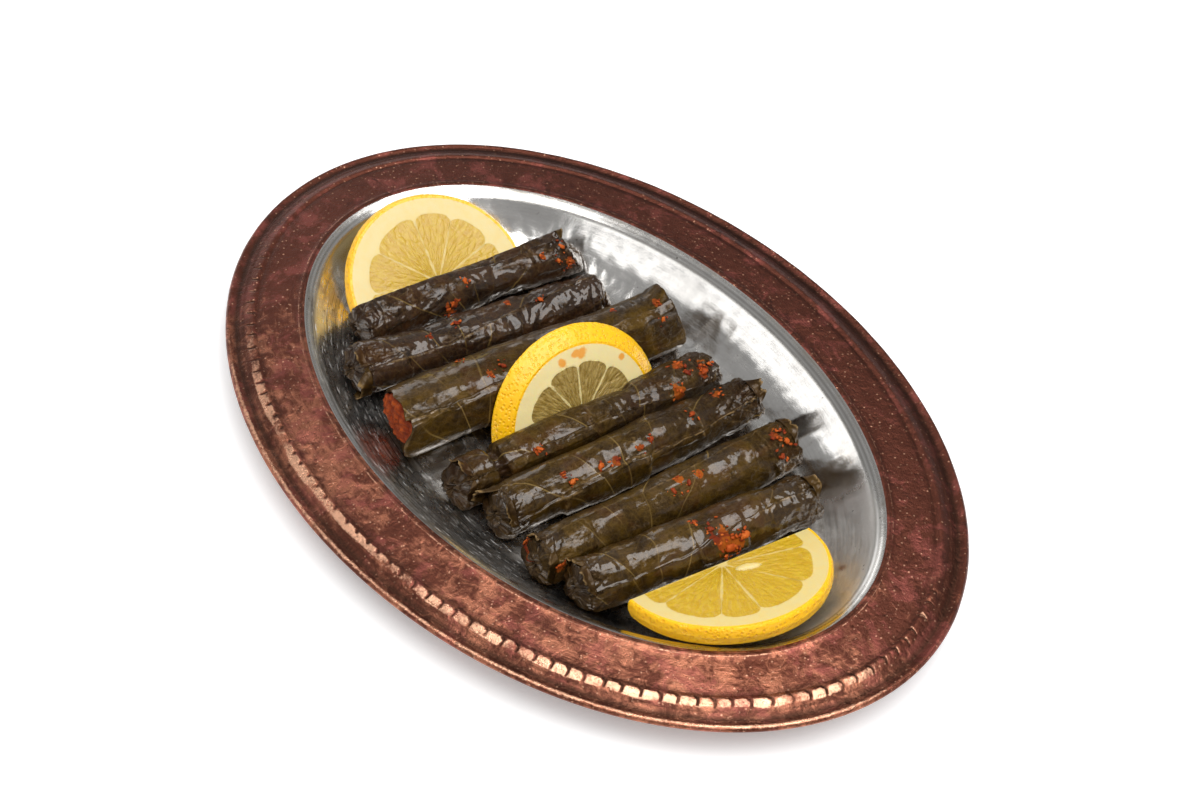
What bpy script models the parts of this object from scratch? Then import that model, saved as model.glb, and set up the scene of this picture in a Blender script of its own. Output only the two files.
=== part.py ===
"""Oval copper dish of stuffed vine leaf rolls with lemon slices.

Blender 4.5 script, metres, +Z up. The dish stands on its flat foot with its
long side along X; every sub-part is one closed mesh object with a material.
"""
import math

import bmesh
import bpy
from mathutils import Vector

MM = 0.001
TURN = 2.0 * math.pi

# Driving sizes of the dish, in metres
DISH_HALF_LENGTH = 130.0 * MM
DISH_HALF_WIDTH = 92.0 * MM
SHEET = 1.2 * MM
RIM_SEGMENTS = 76

# Upper profile of the dish: inset from the outer ellipse and height, in mm
EDGE_OUT = (0.0, 12.3)
EDGE_TOP = (0.9, 13.3)
GROOVE_SIDE = (2.6, 13.2)
GROOVE = (4.8, 13.7)
RIDGE_FOOT = (6.3, 14.7)
RIDGE = (7.4, 15.2)
RIM_OUT = (8.9, 14.9)
RIM_MID = (15.0, 15.1)
RIM_IN = (21.4, 15.3)
SHOULDER_TOP = (23.0, 15.75)
SHOULDER_IN = (25.3, 15.0)
CREASE = (27.2, 13.8)
WALL_FOOT = (42.0, 1.2)
WALL_STEPS = 6
WALL_HOLLOW = 1.3
FOOT_INSET = 42.6
UNDER_EDGE = (0.5, 11.5)
UNDER_GROOVE = (4.6, 12.4)
UNDER_RIM = (8.6, 13.6)
UNDER_SHOULDER = (24.6, 14.0)
UNDER_CREASE = (27.0, 12.4)
WALL_IN = 0.7
WALL_DOWN = 0.8

# Clearances between touching pieces
DISH_GAP = 0.45 * MM
SIDE_GAP = 0.4 * MM

# Rolls: every one is a wrapped leaf, wider than tall
AROUND = 20
ALONG = 17
LIP_WIDTH = 0.12
END_RADIUS = 0.45
CORNER_REACH = 0.05
CORNER_HALF_ANGLE = math.radians(32)
SLANT_REACH = 0.16
RISE_REACH = 0.22
LEAF_WALL = 1.3 * MM
FILLING_GAP = 0.45 * MM
FILLING_ALONG = 9
MOUTH = 0.030
CORE_START = 0.050
CORE_END = 0.86
CORE_SHORTER = 0.03
FILLING_BULGE = 0.028
DOME = ((1.0, 0.62), (0.7, 0.88))

# Unevenness of a roll's section, as shares of its size
SWELL = 0.035
TWIST = 0.022
DENTS = 0.020
FOLD_SLOPE = 0.30
FLAP_WAVE = 5.0

# Lemon slices
ARC_STEPS = 30
CUT_STEPS = 5
RIND_BULGE = 0.5 * MM
RIND_EDGE = 0.5 * MM

# Chilli flakes fused to the leaves
FLAKE_RINGS = 3
FLAKE_SIDES = 5
FLAKE_SHAPE = (0.62, 0.42, 0.26)
FLAKE_TWIST = 0.6

LEAF_DARK = (0.050, 0.042, 0.022)
LEAF_OLIVE = (0.085, 0.080, 0.030)
FILLING_RED = (0.48, 0.13, 0.035)
LEMON_YELLOW = (0.83, 0.55, 0.05)
COPPER = (0.62, 0.33, 0.24)


class Roll:
    """One leaf roll: its axis on the floor, its section and its folds."""

    def __init__(self, left, right, half, bow=0.0, flap=(60, 60), lip=0.7, ends=(0.14, 0.14),
                 square=(3.0, 3.0), slant=(0.0, 0.0), corners=(), pinches=(), sheets=(),
                 flakes=(), rise=(0.0, 0.0), phase=0.0):
        self.left = Vector((left[0] * MM, left[1] * MM, 0.0))
        self.right = Vector((right[0] * MM, right[1] * MM, 0.0))
        self.half_width, self.half_height = half[0] * MM, half[1] * MM
        self.bow = bow * MM
        self.flap = flap
        self.lip = lip * MM
        self.ends, self.square = ends, square
        self.slant, self.corners = slant, corners
        self.pinches, self.sheets, self.flakes = pinches, sheets, flakes
        self.rise = rise
        self.phase = phase
        self.sides = (None, None)
        self.presses = []
        self.along = (self.right - self.left).normalized()
        self.across = Vector((self.along.y, -self.along.x, 0.0))

    def x_at(self, y):
        """X of the axis where it crosses the given Y."""
        share = (y - self.left.y) / (self.right.y - self.left.y)
        return self.left.x + share * (self.right.x - self.left.x)


# The seven rolls from the -X end to the +X end, in mm
# A fold is (place along, angle, half length along, half angle, height in mm)
# A corner is (end, angle, height in mm): a leaf corner that stands out at that end
ROLLS = {
    "dolma_1": Roll((-68.6, -34.0), (-57.4, 42.0), (7.6, 6.9), bow=-0.8, flap=(118, 70), lip=0.9,
                    ends=(0.07, 0.04), slant=(0.0, -3.2), corners=((1, 112, 1.8),),
                    rise=(0.0, 0.8), phase=0.3,
                    pinches=((0.30, 0.06, 0.05), (0.62, 0.05, 0.05)),
                    sheets=((0.88, 70, 0.10, 55, 0.9), (0.17, 60, 0.08, 38, 0.6)),
                    flakes=((0.47, 62, 2.2), (0.94, 60, 2.0), (0.89, 35, 1.8))),
    "dolma_2": Roll((-53.0, -47.2), (-37.0, 38.0), (7.9, 6.9), bow=0.5, flap=(35, 100), lip=0.9,
                    ends=(0.07, 0.06), slant=(1.0, -1.0), corners=((0, -8, 1.2),),
                    rise=(2.4, 0.0), phase=1.7,
                    pinches=((0.36, 0.05, 0.05), (0.70, 0.06, 0.06)),
                    sheets=((0.09, 15, 0.10, 40, 1.1), (0.56, 40, 0.07, 30, 0.8)),
                    flakes=((0.41, 95, 2.3), (0.73, 80, 2.2))),
    "dolma_3": Roll((-28.8, -49.4), (-14.8, 47.0), (10.8, 8.6), flap=(48, 84), lip=0.8,
                    ends=(0.04, 0.04), slant=(0.0, -1.5), corners=((1, 104, 3.4), (1, 20, 0.9)),
                    phase=2.9, pinches=((0.24, 0.03, 0.06),),
                    sheets=((0.18, 8, 0.15, 34, 1.3), (0.93, 60, 0.06, 60, 0.7)),
                    flakes=((0.37, 78, 2.4), (0.45, 60, 2.2), (0.93, 52, 2.0))),
    "dolma_4": Roll((0.9, -49.6), (9.4, 43.2), (7.3, 7.1), bow=0.4, flap=(62, 40), lip=0.8,
                    ends=(0.06, 0.08), square=(3.0, 2.4), slant=(1.6, 0.0), phase=4.1,
                    pinches=((0.145, 0.22, 0.022), (0.66, 0.14, 0.05)),
                    sheets=((0.36, 72, 0.14, 44, 0.8), (0.80, 58, 0.10, 50, 0.7)),
                    flakes=((0.28, 52, 2.5), (0.86, 70, 2.4), (0.92, 58, 2.6))),
    "dolma_5": Roll((16.2, -46.6), (25.2, 45.6), (7.7, 7.3), bow=0.3, flap=(20, 55), lip=0.9,
                    ends=(0.08, 0.06), slant=(1.2, -0.8), corners=((0, -20, 1.2), (1, 60, 1.0)),
                    phase=5.2, pinches=((0.82, 0.06, 0.05),),
                    sheets=((0.36, 12, 0.16, 32, 1.2), (0.62, 62, 0.12, 40, 0.6)),
                    flakes=((0.25, 50, 2.4), (0.36, 56, 2.4), (0.55, 62, 2.2), (0.72, 75, 2.4))),
    "dolma_6": Roll((37.2, -48.8), (45.7, 41.2), (8.0, 7.4), flap=(96, 110), lip=0.7,
                    ends=(0.08, 0.04), slant=(1.2, -1.0), corners=((1, 70, 1.0),), phase=0.9,
                    pinches=((0.08, 0.05, 0.04),),
                    sheets=((0.94, 60, 0.07, 60, 0.8), (0.10, 50, 0.09, 50, 0.7)),
                    flakes=((0.50, 70, 2.3), (0.56, 72, 2.5), (0.90, 40, 2.3), (0.94, 62, 2.4))),
    "dolma_7": Roll((51.4, -46.0), (64.6, 32.4), (8.0, 7.6), bow=0.5, flap=(30, 75), lip=0.8,
                    ends=(0.09, 0.06), slant=(1.0, -1.0), corners=((0, 120, 0.8), (1, 80, 1.0)),
                    rise=(1.2, 0.0), phase=2.2, pinches=((0.30, 0.05, 0.04), (0.84, 0.07, 0.05)),
                    sheets=((0.55, 48, 0.10, 40, 0.9), (0.86, 60, 0.10, 50, 0.8)),
                    flakes=((0.56, 28, 3.6), (0.63, 38, 3.2), (0.52, 70, 2.4))),
}
NEIGHBOURS = (("dolma_1", "dolma_2"), ("dolma_2", "dolma_3"), ("dolma_3", "dolma_4"),
              ("dolma_4", "dolma_5"), ("dolma_5", "dolma_6"), ("dolma_6", "dolma_7"))


class Slice:
    """One half slice of lemon: a point of its face, its tilt and its radii."""

    def __init__(self, centre, tilt, heading, front, back, thick, cut, turn=0.0):
        self.centre = Vector(centre) * MM
        tilt, heading = math.radians(tilt), math.radians(heading)
        self.normal = Vector((math.cos(heading) * math.sin(tilt),
                              math.sin(heading) * math.sin(tilt), math.cos(tilt)))
        level = Vector((-math.sin(heading), math.cos(heading), 0.0))
        steep = self.normal.cross(level)
        turn = math.radians(turn)
        self.side = level * math.cos(turn) + steep * math.sin(turn)
        self.up = self.normal.cross(self.side)
        self.front, self.back = front * MM, back * MM
        self.thick, self.cut = thick * MM, cut * MM


LEMONS = {
    "lemon_slice_a": Slice((-70.5, -0.7, 8.0), 33.2, -11.8, 28.8, 29.3, 4.2, 1.0, turn=4.0),
    "lemon_slice_b": Slice((-1.2, 1.2, 3.4), 65.5, -6.2, 24.8, 29.0, 5.0, 0.7),
    "lemon_slice_c": Slice((70.2, -8.3, 12.2), 17.3, 163.0, 30.6, 29.9, 6.0, -0.5, turn=9.0),
}


# Rolls that a slice presses on, with the side of the slice that meets them
PRESSES = (("dolma_1", "lemon_slice_a", "cut"), ("dolma_3", "lemon_slice_b", "back"),
           ("dolma_4", "lemon_slice_b", "front"), ("dolma_7", "lemon_slice_c", "cut"))


def remove_everything():
    for thing in list(bpy.data.objects):
        bpy.data.objects.remove(thing, do_unlink=True)


def material(name, colour, roughness, metallic=0.0):
    made = bpy.data.materials.new(name)
    made.use_nodes = True
    shader = made.node_tree.nodes["Principled BSDF"]
    shader.inputs["Base Color"].default_value = (*colour, 1.0)
    shader.inputs["Roughness"].default_value = roughness
    shader.inputs["Metallic"].default_value = metallic
    return made


def mesh_object(name, points, faces, look):
    mesh = bpy.data.meshes.new(name)
    mesh.from_pydata([tuple(p) for p in points], [], faces)
    work = bmesh.new()
    work.from_mesh(mesh)
    bmesh.ops.triangulate(work, faces=work.faces)
    bmesh.ops.recalc_face_normals(work, faces=work.faces)
    work.to_mesh(mesh)
    work.free()
    made = bpy.data.objects.new(name, mesh)
    made.data.materials.append(look)
    bpy.context.scene.collection.objects.link(made)
    return made


def skin(rings, close_start=True, close_end=True):
    """Points and faces of rings of equal length joined into one surface."""
    count = len(rings[0])
    points = [p for ring in rings for p in ring]
    faces = []
    for row in range(len(rings) - 1):
        for col in range(count):
            here, there = row * count + col, row * count + (col + 1) % count
            faces.append((here, there, there + count, here + count))
    for wanted, row in ((close_start, 0), (close_end, len(rings) - 1)):
        if wanted:
            middle = sum(rings[row], Vector()) / count
            points.append(middle)
            tip = len(points) - 1
            for col in range(count):
                faces.append((row * count + col, row * count + (col + 1) % count, tip))
    return points, faces


# Dish


def wall_profile():
    """Softly hollowed wall from the crease down to the floor, without its ends."""
    steps = []
    for step in range(1, WALL_STEPS):
        share = step / WALL_STEPS
        inset = CREASE[0] + share * (WALL_FOOT[0] - CREASE[0])
        fall = CREASE[1] + share * (WALL_FOOT[1] - CREASE[1])
        steps.append((inset, fall - WALL_HOLLOW * math.sin(math.pi * share)))
    return steps


def upper_profile():
    return [EDGE_OUT, EDGE_TOP, GROOVE_SIDE, GROOVE, RIDGE_FOOT, RIDGE, RIM_OUT, RIM_MID, RIM_IN,
            SHOULDER_TOP, SHOULDER_IN, CREASE] + wall_profile() + [WALL_FOOT]


def lower_profile():
    """Underside from the foot out to the edge, one sheet away from the top."""
    lowered = []
    for inset, height in reversed(wall_profile()[::2]):
        lowered.append((inset - WALL_IN * SHEET / MM, height - WALL_DOWN * SHEET / MM))
    return ([(FOOT_INSET, 0.0)] + lowered
            + [UNDER_CREASE, UNDER_SHOULDER, UNDER_RIM, UNDER_GROOVE, UNDER_EDGE])


def ellipse_ring(inset, height):
    ring = []
    for step in range(RIM_SEGMENTS):
        angle = TURN * step / RIM_SEGMENTS
        ring.append(Vector(((DISH_HALF_LENGTH - inset * MM) * math.cos(angle),
                            (DISH_HALF_WIDTH - inset * MM) * math.sin(angle), height * MM)))
    return ring


def build_dish(look):
    profile = list(reversed(upper_profile())) + list(reversed(lower_profile()))
    points, faces = skin([ellipse_ring(*corner) for corner in profile])
    return mesh_object("dish", points, faces, look)


def inset_at(x, y):
    """How far inside the outer ellipse a point lies, along equal insets."""
    low, high = 0.0, DISH_HALF_WIDTH - 0.1 * MM
    for _ in range(40):
        middle = 0.5 * (low + high)
        reach = (x / (DISH_HALF_LENGTH - middle)) ** 2 + (y / (DISH_HALF_WIDTH - middle)) ** 2
        if reach < 1.0:
            low = middle
        else:
            high = middle
    return low


def dish_top(x, y):
    """Height of the dish's upper surface under a point."""
    inset = inset_at(x, y) / MM
    corners = upper_profile()
    if inset >= corners[-1][0]:
        return corners[-1][1] * MM
    for (near, high), (far, low) in zip(corners, corners[1:]):
        if inset <= far:
            share = (inset - near) / (far - near)
            return (high + share * (low - high)) * MM
    return 0.0


# Rolls


def bump(value, middle, width):
    """Smooth hill of height one."""
    return math.exp(-((value - middle) / width) ** 2)


def plateau(value, middle, half):
    """One inside the range and nothing outside it, with a short slope between."""
    edge = (half - abs(value - middle)) / (FOLD_SLOPE * half)
    edge = min(max(edge + 0.5, 0.0), 1.0)
    return edge * edge * (3.0 - 2.0 * edge)


def angle_gap(angle, other):
    """Signed difference of two angles, within half a turn."""
    return (angle - other + math.pi) % TURN - math.pi


def end_size(roll, share):
    """Share of the full section left near the ends of a roll."""
    size = 1.0
    for distance, span, power in ((share, roll.ends[0], roll.square[0]),
                                  (1.0 - share, roll.ends[1], roll.square[1])):
        if distance < span:
            gone = 1.0 - distance / span
            size = min(size, (1.0 - gone ** power) ** (1.0 / power))
    return END_RADIUS + (1.0 - END_RADIUS) * size


def section_scale(roll, share, angle):
    """Lumps and pinches of the wrapped leaf, as a factor on its section."""
    phase = roll.phase
    factor = 1.0 + SWELL * math.sin(7.0 * share + 2.0 * phase)
    factor += TWIST * math.sin(15.0 * share + angle + 3.0 * phase)
    factor += DENTS * math.sin(3.0 * angle + 9.0 * share + phase)
    for place, depth, width in roll.pinches:
        factor -= depth * bump(share, place, width)
    return factor


def surface_height(roll, share, angle):
    """Extra leaf thickness: the spiral lip of the wrap and the folded sheets."""
    flap = flap_angle(roll, share)
    height = roll.lip * ((angle - flap) % TURN) / TURN
    for place, around, half_length, half_angle, lift in roll.sheets:
        height += (lift * MM * plateau(share, place, half_length)
                   * plateau(angle_gap(angle, math.radians(around)), 0.0, math.radians(half_angle)))
    return height


def corner_height(roll, share, angle):
    """How far a leaf corner stands out at either end of the roll."""
    height = 0.0
    for end, around, lift in roll.corners:
        near = bump(share, end, CORNER_REACH)
        height += lift * MM * near * bump(angle_gap(angle, math.radians(around)), 0.0,
                                          CORNER_HALF_ANGLE)
    return height


def flap_angle(roll, share):
    start, finish = roll.flap
    wave = FLAP_WAVE * math.sin(8.0 * share + roll.phase)
    return math.radians(start + share * (finish - start) + wave)


def roll_frame(roll, share):
    """Centre of the section at a place along the roll."""
    middle = roll.left.lerp(roll.right, share)
    middle += roll.across * roll.bow * math.sin(math.pi * share)
    middle.z = WALL_FOOT[1] * MM + DISH_GAP + roll.half_height
    middle.z += roll.rise[0] * MM * bump(share, 0.0, RISE_REACH)
    middle.z += roll.rise[1] * MM * bump(share, 1.0, RISE_REACH)
    return middle


def roll_point(roll, share, angle, shrink=0.0):
    """A point of the roll's skin, or of a surface that much inside it."""
    size = end_size(roll, share)
    scale = section_scale(roll, share, angle)
    extra = surface_height(roll, share, angle) * min(1.0, 2.0 * (size - END_RADIUS))
    extra += corner_height(roll, share, angle) * size
    wide = roll.half_width * scale * size + extra - shrink
    tall = roll.half_height * scale * size + extra - shrink
    point = roll_frame(roll, share) + roll.across * wide * math.cos(angle)
    point.z += tall * math.sin(angle)
    tilt = (roll.slant[0] * bump(share, 0.0, SLANT_REACH)
            + roll.slant[1] * bump(share, 1.0, SLANT_REACH)) * MM
    point += roll.along * tilt * math.sin(angle)
    return settle(roll, point, shrink)


def settle(roll, point, shrink):
    """Flatten a soft roll against the dish and against its neighbours."""
    before, after = roll.sides
    if before is not None:
        point.x = max(point.x, before(point.y) + 0.5 * SIDE_GAP + shrink)
    if after is not None:
        point.x = min(point.x, after(point.y) - 0.5 * SIDE_GAP - shrink)
    for place, outward in roll.presses:
        depth = outward.dot(point - place) + SIDE_GAP + shrink
        if depth > 0.0:
            point = point - outward * depth
    point.z = max(point.z, dish_top(point.x, point.y) + DISH_GAP + shrink)
    return point


def share_presses():
    """Give each pressed roll the plane of the slice that lies against it."""
    for roll_name, slice_name, face in PRESSES:
        lemon = LEMONS[slice_name]
        place, outward = lemon.centre + lemon.up * lemon.cut, lemon.up
        if face == "front":
            place, outward = lemon.centre, -lemon.normal
        elif face == "back":
            place, outward = lemon.centre - lemon.normal * lemon.thick, lemon.normal
        ROLLS[roll_name].presses.append((place, outward))


def share_neighbours():
    """Give each pair of rolls the line between them that neither crosses."""
    for first_name, second_name in NEIGHBOURS:
        first, second = ROLLS[first_name], ROLLS[second_name]

        def between(y, first=first, second=second):
            weight = first.half_width / (first.half_width + second.half_width)
            return first.x_at(y) + weight * (second.x_at(y) - first.x_at(y))

        first.sides = (first.sides[0], between)
        second.sides = (between, second.sides[1])


def ring_angles(roll, share, count):
    """Angles round the section, with the last close to the first at the leaf's lip."""
    flap = flap_angle(roll, share)
    return [flap + (TURN - LIP_WIDTH) * step / (count - 1) for step in range(count)]


def stations(count, ends):
    """Places along a roll, closer together where its ends are rounded."""
    first, last = ends
    inner = count - 6
    places = [0.0, 0.25 * first, 0.6 * first]
    for step in range(inner):
        places.append(first + (1.0 - first - last) * step / (inner - 1))
    return places + [1.0 - 0.6 * last, 1.0 - 0.25 * last, 1.0]


def roll_rings(roll, places, count, shrink=0.0):
    return [[roll_point(roll, share, angle, shrink) for angle in ring_angles(roll, share, count)]
            for share in places]


def build_roll(name, look):
    roll = ROLLS[name]
    points, faces = skin(roll_rings(roll, stations(ALONG, roll.ends), AROUND))
    made = mesh_object(name, points, faces, look)
    return fuse_flakes(made, roll, look)


def build_open_roll(name, look):
    """The thick roll: its leaf is a tube with the filling showing at one end."""
    roll = ROLLS[name]
    outer = roll_rings(roll, [MOUTH] + stations(ALONG, roll.ends)[3:], AROUND)
    core = [CORE_START + (CORE_END - CORE_START) * step / (FILLING_ALONG - 1)
            for step in range(FILLING_ALONG)]
    inner = roll_rings(roll, [MOUTH] + core, AROUND, LEAF_WALL)
    points, faces = skin(list(reversed(inner)) + outer)
    made = mesh_object(name, points, faces, look)
    return fuse_flakes(made, roll, look)


def build_filling(name, roll, look):
    """Rice and pepper filling that runs through the thick roll and bulges out."""
    shrink = LEAF_WALL + FILLING_GAP
    length = CORE_END - CORE_SHORTER - CORE_START
    places = [MOUTH] + [CORE_START + length * step / (FILLING_ALONG - 1)
                        for step in range(FILLING_ALONG)]
    rings = roll_rings(roll, places, AROUND, shrink)
    mouth = rings[0]
    middle = sum(mouth, Vector()) / len(mouth)
    for row, (reach, width) in enumerate(DOME):
        push = roll.along * (roll.right - roll.left).length * FILLING_BULGE * reach
        rings.insert(row, [middle + (point - middle) * width - push for point in mouth])
    points, faces = skin(rings)
    return mesh_object(name, points, faces, look)


def flake(roll, place, around, size, look):
    """A small lump of red pepper pressed into the leaf."""
    angle = math.radians(around)
    base = roll_point(roll, place, angle)
    ahead = (roll_point(roll, place + 0.01, angle) - base).normalized()
    beside = (roll_point(roll, place, angle + 0.05) - base).normalized()
    out = beside.cross(ahead).normalized()
    if out.z < 0.0:
        out.negate()
    long, wide, tall = [part * size * MM for part in FLAKE_SHAPE]
    rings = []
    for row in range(FLAKE_RINGS):
        tip = math.pi * (row + 0.5) / FLAKE_RINGS
        ring = []
        for step in range(FLAKE_SIDES):
            turn = TURN * step / FLAKE_SIDES + FLAKE_TWIST * row
            ring.append(base + ahead * long * math.cos(tip)
                        + beside * wide * math.sin(tip) * math.cos(turn)
                        + out * tall * math.sin(tip) * math.sin(turn))
        rings.append(ring)
    points, faces = skin(rings)
    return mesh_object("flake", points, faces, look)


def fuse_flakes(made, roll, look):
    flakes = bpy.data.collections.new("flakes")
    bpy.context.scene.collection.children.link(flakes)
    pieces = [flake(roll, *where, look) for where in roll.flakes]
    for piece in pieces:
        bpy.context.scene.collection.objects.unlink(piece)
        flakes.objects.link(piece)
    joint = made.modifiers.new("flakes", "BOOLEAN")
    joint.operand_type = "COLLECTION"
    joint.collection = flakes
    joint.operation = "UNION"
    joint.solver = "EXACT"
    apply_modifiers(made)
    for piece in pieces:
        bpy.data.objects.remove(piece, do_unlink=True)
    bpy.data.collections.remove(flakes)
    return made


def apply_modifiers(made):
    bpy.context.view_layer.update()
    graph = bpy.context.evaluated_depsgraph_get()
    fresh = bpy.data.meshes.new_from_object(made.evaluated_get(graph))
    made.modifiers.clear()
    made.data = fresh


# Lemon slices


def slice_outline(lemon, radius):
    """Closed outline of the half slice in its plane: the arc, then the cut."""
    half = math.acos(lemon.cut / radius)
    outline = []
    for step in range(ARC_STEPS + 1):
        angle = -half + 2.0 * half * step / ARC_STEPS
        outline.append((radius * math.sin(angle), radius * math.cos(angle)))
    end, start = outline[-1][0], outline[0][0]
    for step in range(1, CUT_STEPS):
        outline.append((end + (start - end) * step / CUT_STEPS, lemon.cut))
    return outline


def build_slice(name, look):
    lemon = LEMONS[name]
    middle_radius = 0.5 * (lemon.front + lemon.back) + RIND_BULGE
    rings = []
    for radius, depth in ((lemon.front - RIND_EDGE, 0.0), (lemon.front, 0.12),
                          (middle_radius, 0.5), (lemon.back, 0.9), (lemon.back - RIND_EDGE, 1.0)):
        ring = [lemon.centre + lemon.side * u + lemon.up * v - lemon.normal * lemon.thick * depth
                for u, v in slice_outline(lemon, radius)]
        rings.append(ring)
    points, faces = skin(rings)
    return mesh_object(name, points, faces, look)


def main():
    remove_everything()
    share_neighbours()
    share_presses()
    metal = material("tinned_copper", COPPER, 0.32, 1.0)
    dark = material("leaf_dark", LEAF_DARK, 0.30)
    olive = material("leaf_olive", LEAF_OLIVE, 0.28)
    red = material("filling_red", FILLING_RED, 0.45)
    yellow = material("lemon_rind", LEMON_YELLOW, 0.40)
    build_dish(metal)
    for name in ROLLS:
        look = dark if name in ("dolma_1", "dolma_2") else olive
        if name == "dolma_3":
            build_open_roll(name, look)
        else:
            build_roll(name, look)
    build_filling("filling_3", ROLLS["dolma_3"], red)
    for name in LEMONS:
        build_slice(name, yellow)


if __name__ == "__main__":
    main()
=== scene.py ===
"""Oval copper dish of stuffed vine leaf rolls with half slices of lemon."""
import math
from dataclasses import dataclass

import bpy
import numpy as np
from bpy.props import FloatProperty, FloatVectorProperty, IntProperty, PointerProperty
from mathutils import Matrix, Vector


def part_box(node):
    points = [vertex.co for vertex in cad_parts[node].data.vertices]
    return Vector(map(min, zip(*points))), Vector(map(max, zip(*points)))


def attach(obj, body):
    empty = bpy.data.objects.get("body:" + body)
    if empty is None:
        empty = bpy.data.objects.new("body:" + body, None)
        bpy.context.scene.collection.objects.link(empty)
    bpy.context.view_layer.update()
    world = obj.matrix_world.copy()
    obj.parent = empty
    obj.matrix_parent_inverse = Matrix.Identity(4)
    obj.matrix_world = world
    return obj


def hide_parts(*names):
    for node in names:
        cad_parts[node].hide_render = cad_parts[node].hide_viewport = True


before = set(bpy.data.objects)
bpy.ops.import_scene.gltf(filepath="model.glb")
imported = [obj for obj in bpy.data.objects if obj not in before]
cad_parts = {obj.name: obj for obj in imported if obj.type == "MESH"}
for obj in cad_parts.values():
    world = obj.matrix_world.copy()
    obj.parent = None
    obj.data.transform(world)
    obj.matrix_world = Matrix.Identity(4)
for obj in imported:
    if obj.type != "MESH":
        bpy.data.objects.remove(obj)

bl_info = {
    "name": "Vine leaf roll dish",
    "version": (1, 0, 0),
    "blender": (4, 5, 0),
    "location": "3D View > Sidebar > Vine Rolls",
    "description": "Oval copper dish of stuffed vine leaf rolls with half slices of lemon",
    "category": "Object",
}

MM = 0.001
TURN = 2.0 * math.pi
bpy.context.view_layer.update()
DISH_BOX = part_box("dish")

# Clearances between the pieces, in mm
DISH_GAP = 0.45
SIDE_GAP = 0.4

# Upper surface of the dish: inset from the outer ellipse and height, in mm
UPPER_PROFILE = (
    (0.0, 12.3), (0.15, 12.9), (0.5, 13.3), (1.0, 13.45), (1.6, 13.3), (2.3, 12.95),
    (3.6, 12.95), (4.6, 13.4), (5.4, 13.9), (6.2, 14.4), (7.0, 14.85), (7.8, 15.2),
    (8.5, 15.32), (9.1, 15.1), (9.6, 14.85), (10.2, 14.8), (15.0, 15.05), (20.6, 15.25),
    (21.6, 15.3), (22.2, 15.6), (23.0, 15.75), (24.2, 15.55), (25.3, 15.0), (27.2, 13.8),
    (29.7, 11.05), (32.1, 8.5), (34.6, 6.2), (37.1, 4.28), (39.5, 2.65), (41.0, 1.75),
    (42.6, 1.25), (45.0, 1.2))
FLOOR_HEIGHT = 1.2
LOWER_PROFILE = ((0.12, 11.9), (0.6, 11.5), (4.6, 12.4), (8.6, 13.6), (24.6, 14.0), (27.0, 12.4),
                 (31.3, 7.6), (36.2, 3.3), (40.5, 0.9), (42.6, 0.0), (50.0, 0.0), (91.9, 0.0))
# Rust stains on the tin: x, y and size in mm
RUST_SPOTS = ((-30.0, -56.0, 1.1), (-34.5, -52.0, 0.9), (88.0, 22.0, 1.0))

# Where the copper gives way to tin, and the ridge's middle, as insets in mm
COPPER_EDGE = 24.1
RIDGE_INSET = 8.1

# Turn of the oval that brings its near side to the front, in radians
NEAR_TURN = 0.436

# Leaf round the filling, and how far the filling keeps inside and over it, in mm
LEAF_THICK = 1.2
FILLING_INSET = 1.75
FILLING_ROOM = 1.3

# How far a scattered dot strays over its cell, and the reach of a dent's slope
DOT_SCATTER = 0.8
DENT_REACH = 0.62

# Painted values that are places, with three numbers a point
PLACES = ("ring", "leaf", "sac")


# Numbers that repeat exactly


def at(x, y=0.0, z=0.0):
    """Points from their coordinates, with zeros for those left out."""
    return np.stack(np.broadcast_arrays(x, y, z), axis=-1)


def cell_value(cells, seed):
    """A repeatable number from 0 to 1 for each whole-numbered cell."""
    wide = np.uint64(0xFFFFFFFF)
    x, y, z = (cells[..., axis].astype(np.int64).astype(np.uint64) & wide for axis in range(3))
    mixed = (x * np.uint64(374761393) + y * np.uint64(668265263)
             + z * np.uint64(2147483647) + np.uint64(seed * 1274126177 % 2 ** 32)) & wide
    mixed = ((mixed ^ (mixed >> np.uint64(13))) * np.uint64(1274126177)) & wide
    mixed = ((mixed ^ (mixed >> np.uint64(15))) * np.uint64(2246822519)) & wide
    mixed = mixed ^ (mixed >> np.uint64(16))
    return mixed.astype(np.float64) / 2.0 ** 32


def noise(points, seed=0):
    """Smooth noise from -1 to 1, one cell to a unit."""
    base = np.floor(points)
    part = points - base
    ease = part * part * (3.0 - 2.0 * part)
    total = 0.0
    for corner in range(8):
        step = np.array((corner & 1, corner >> 1 & 1, corner >> 2), float)
        weight = np.prod(np.where(step > 0.5, ease, 1.0 - ease), axis=-1)
        total = total + weight * cell_value(base + step, seed)
    return 2.0 * total - 1.0


def layers(points, count=4, seed=0, ridged=False):
    """Noise at several sizes; the ridged kind has sharp creases near its tops."""
    total, size, whole = 0.0, 1.0, 0.0
    for layer in range(count):
        value = noise(points, seed + 31 * layer)
        if ridged:
            value = 1.0 - 2.0 * np.abs(value)
        total = total + size * value
        whole += size
        points = points * 2.03 + 17.31
        size *= 0.5
    return total / whole


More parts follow.
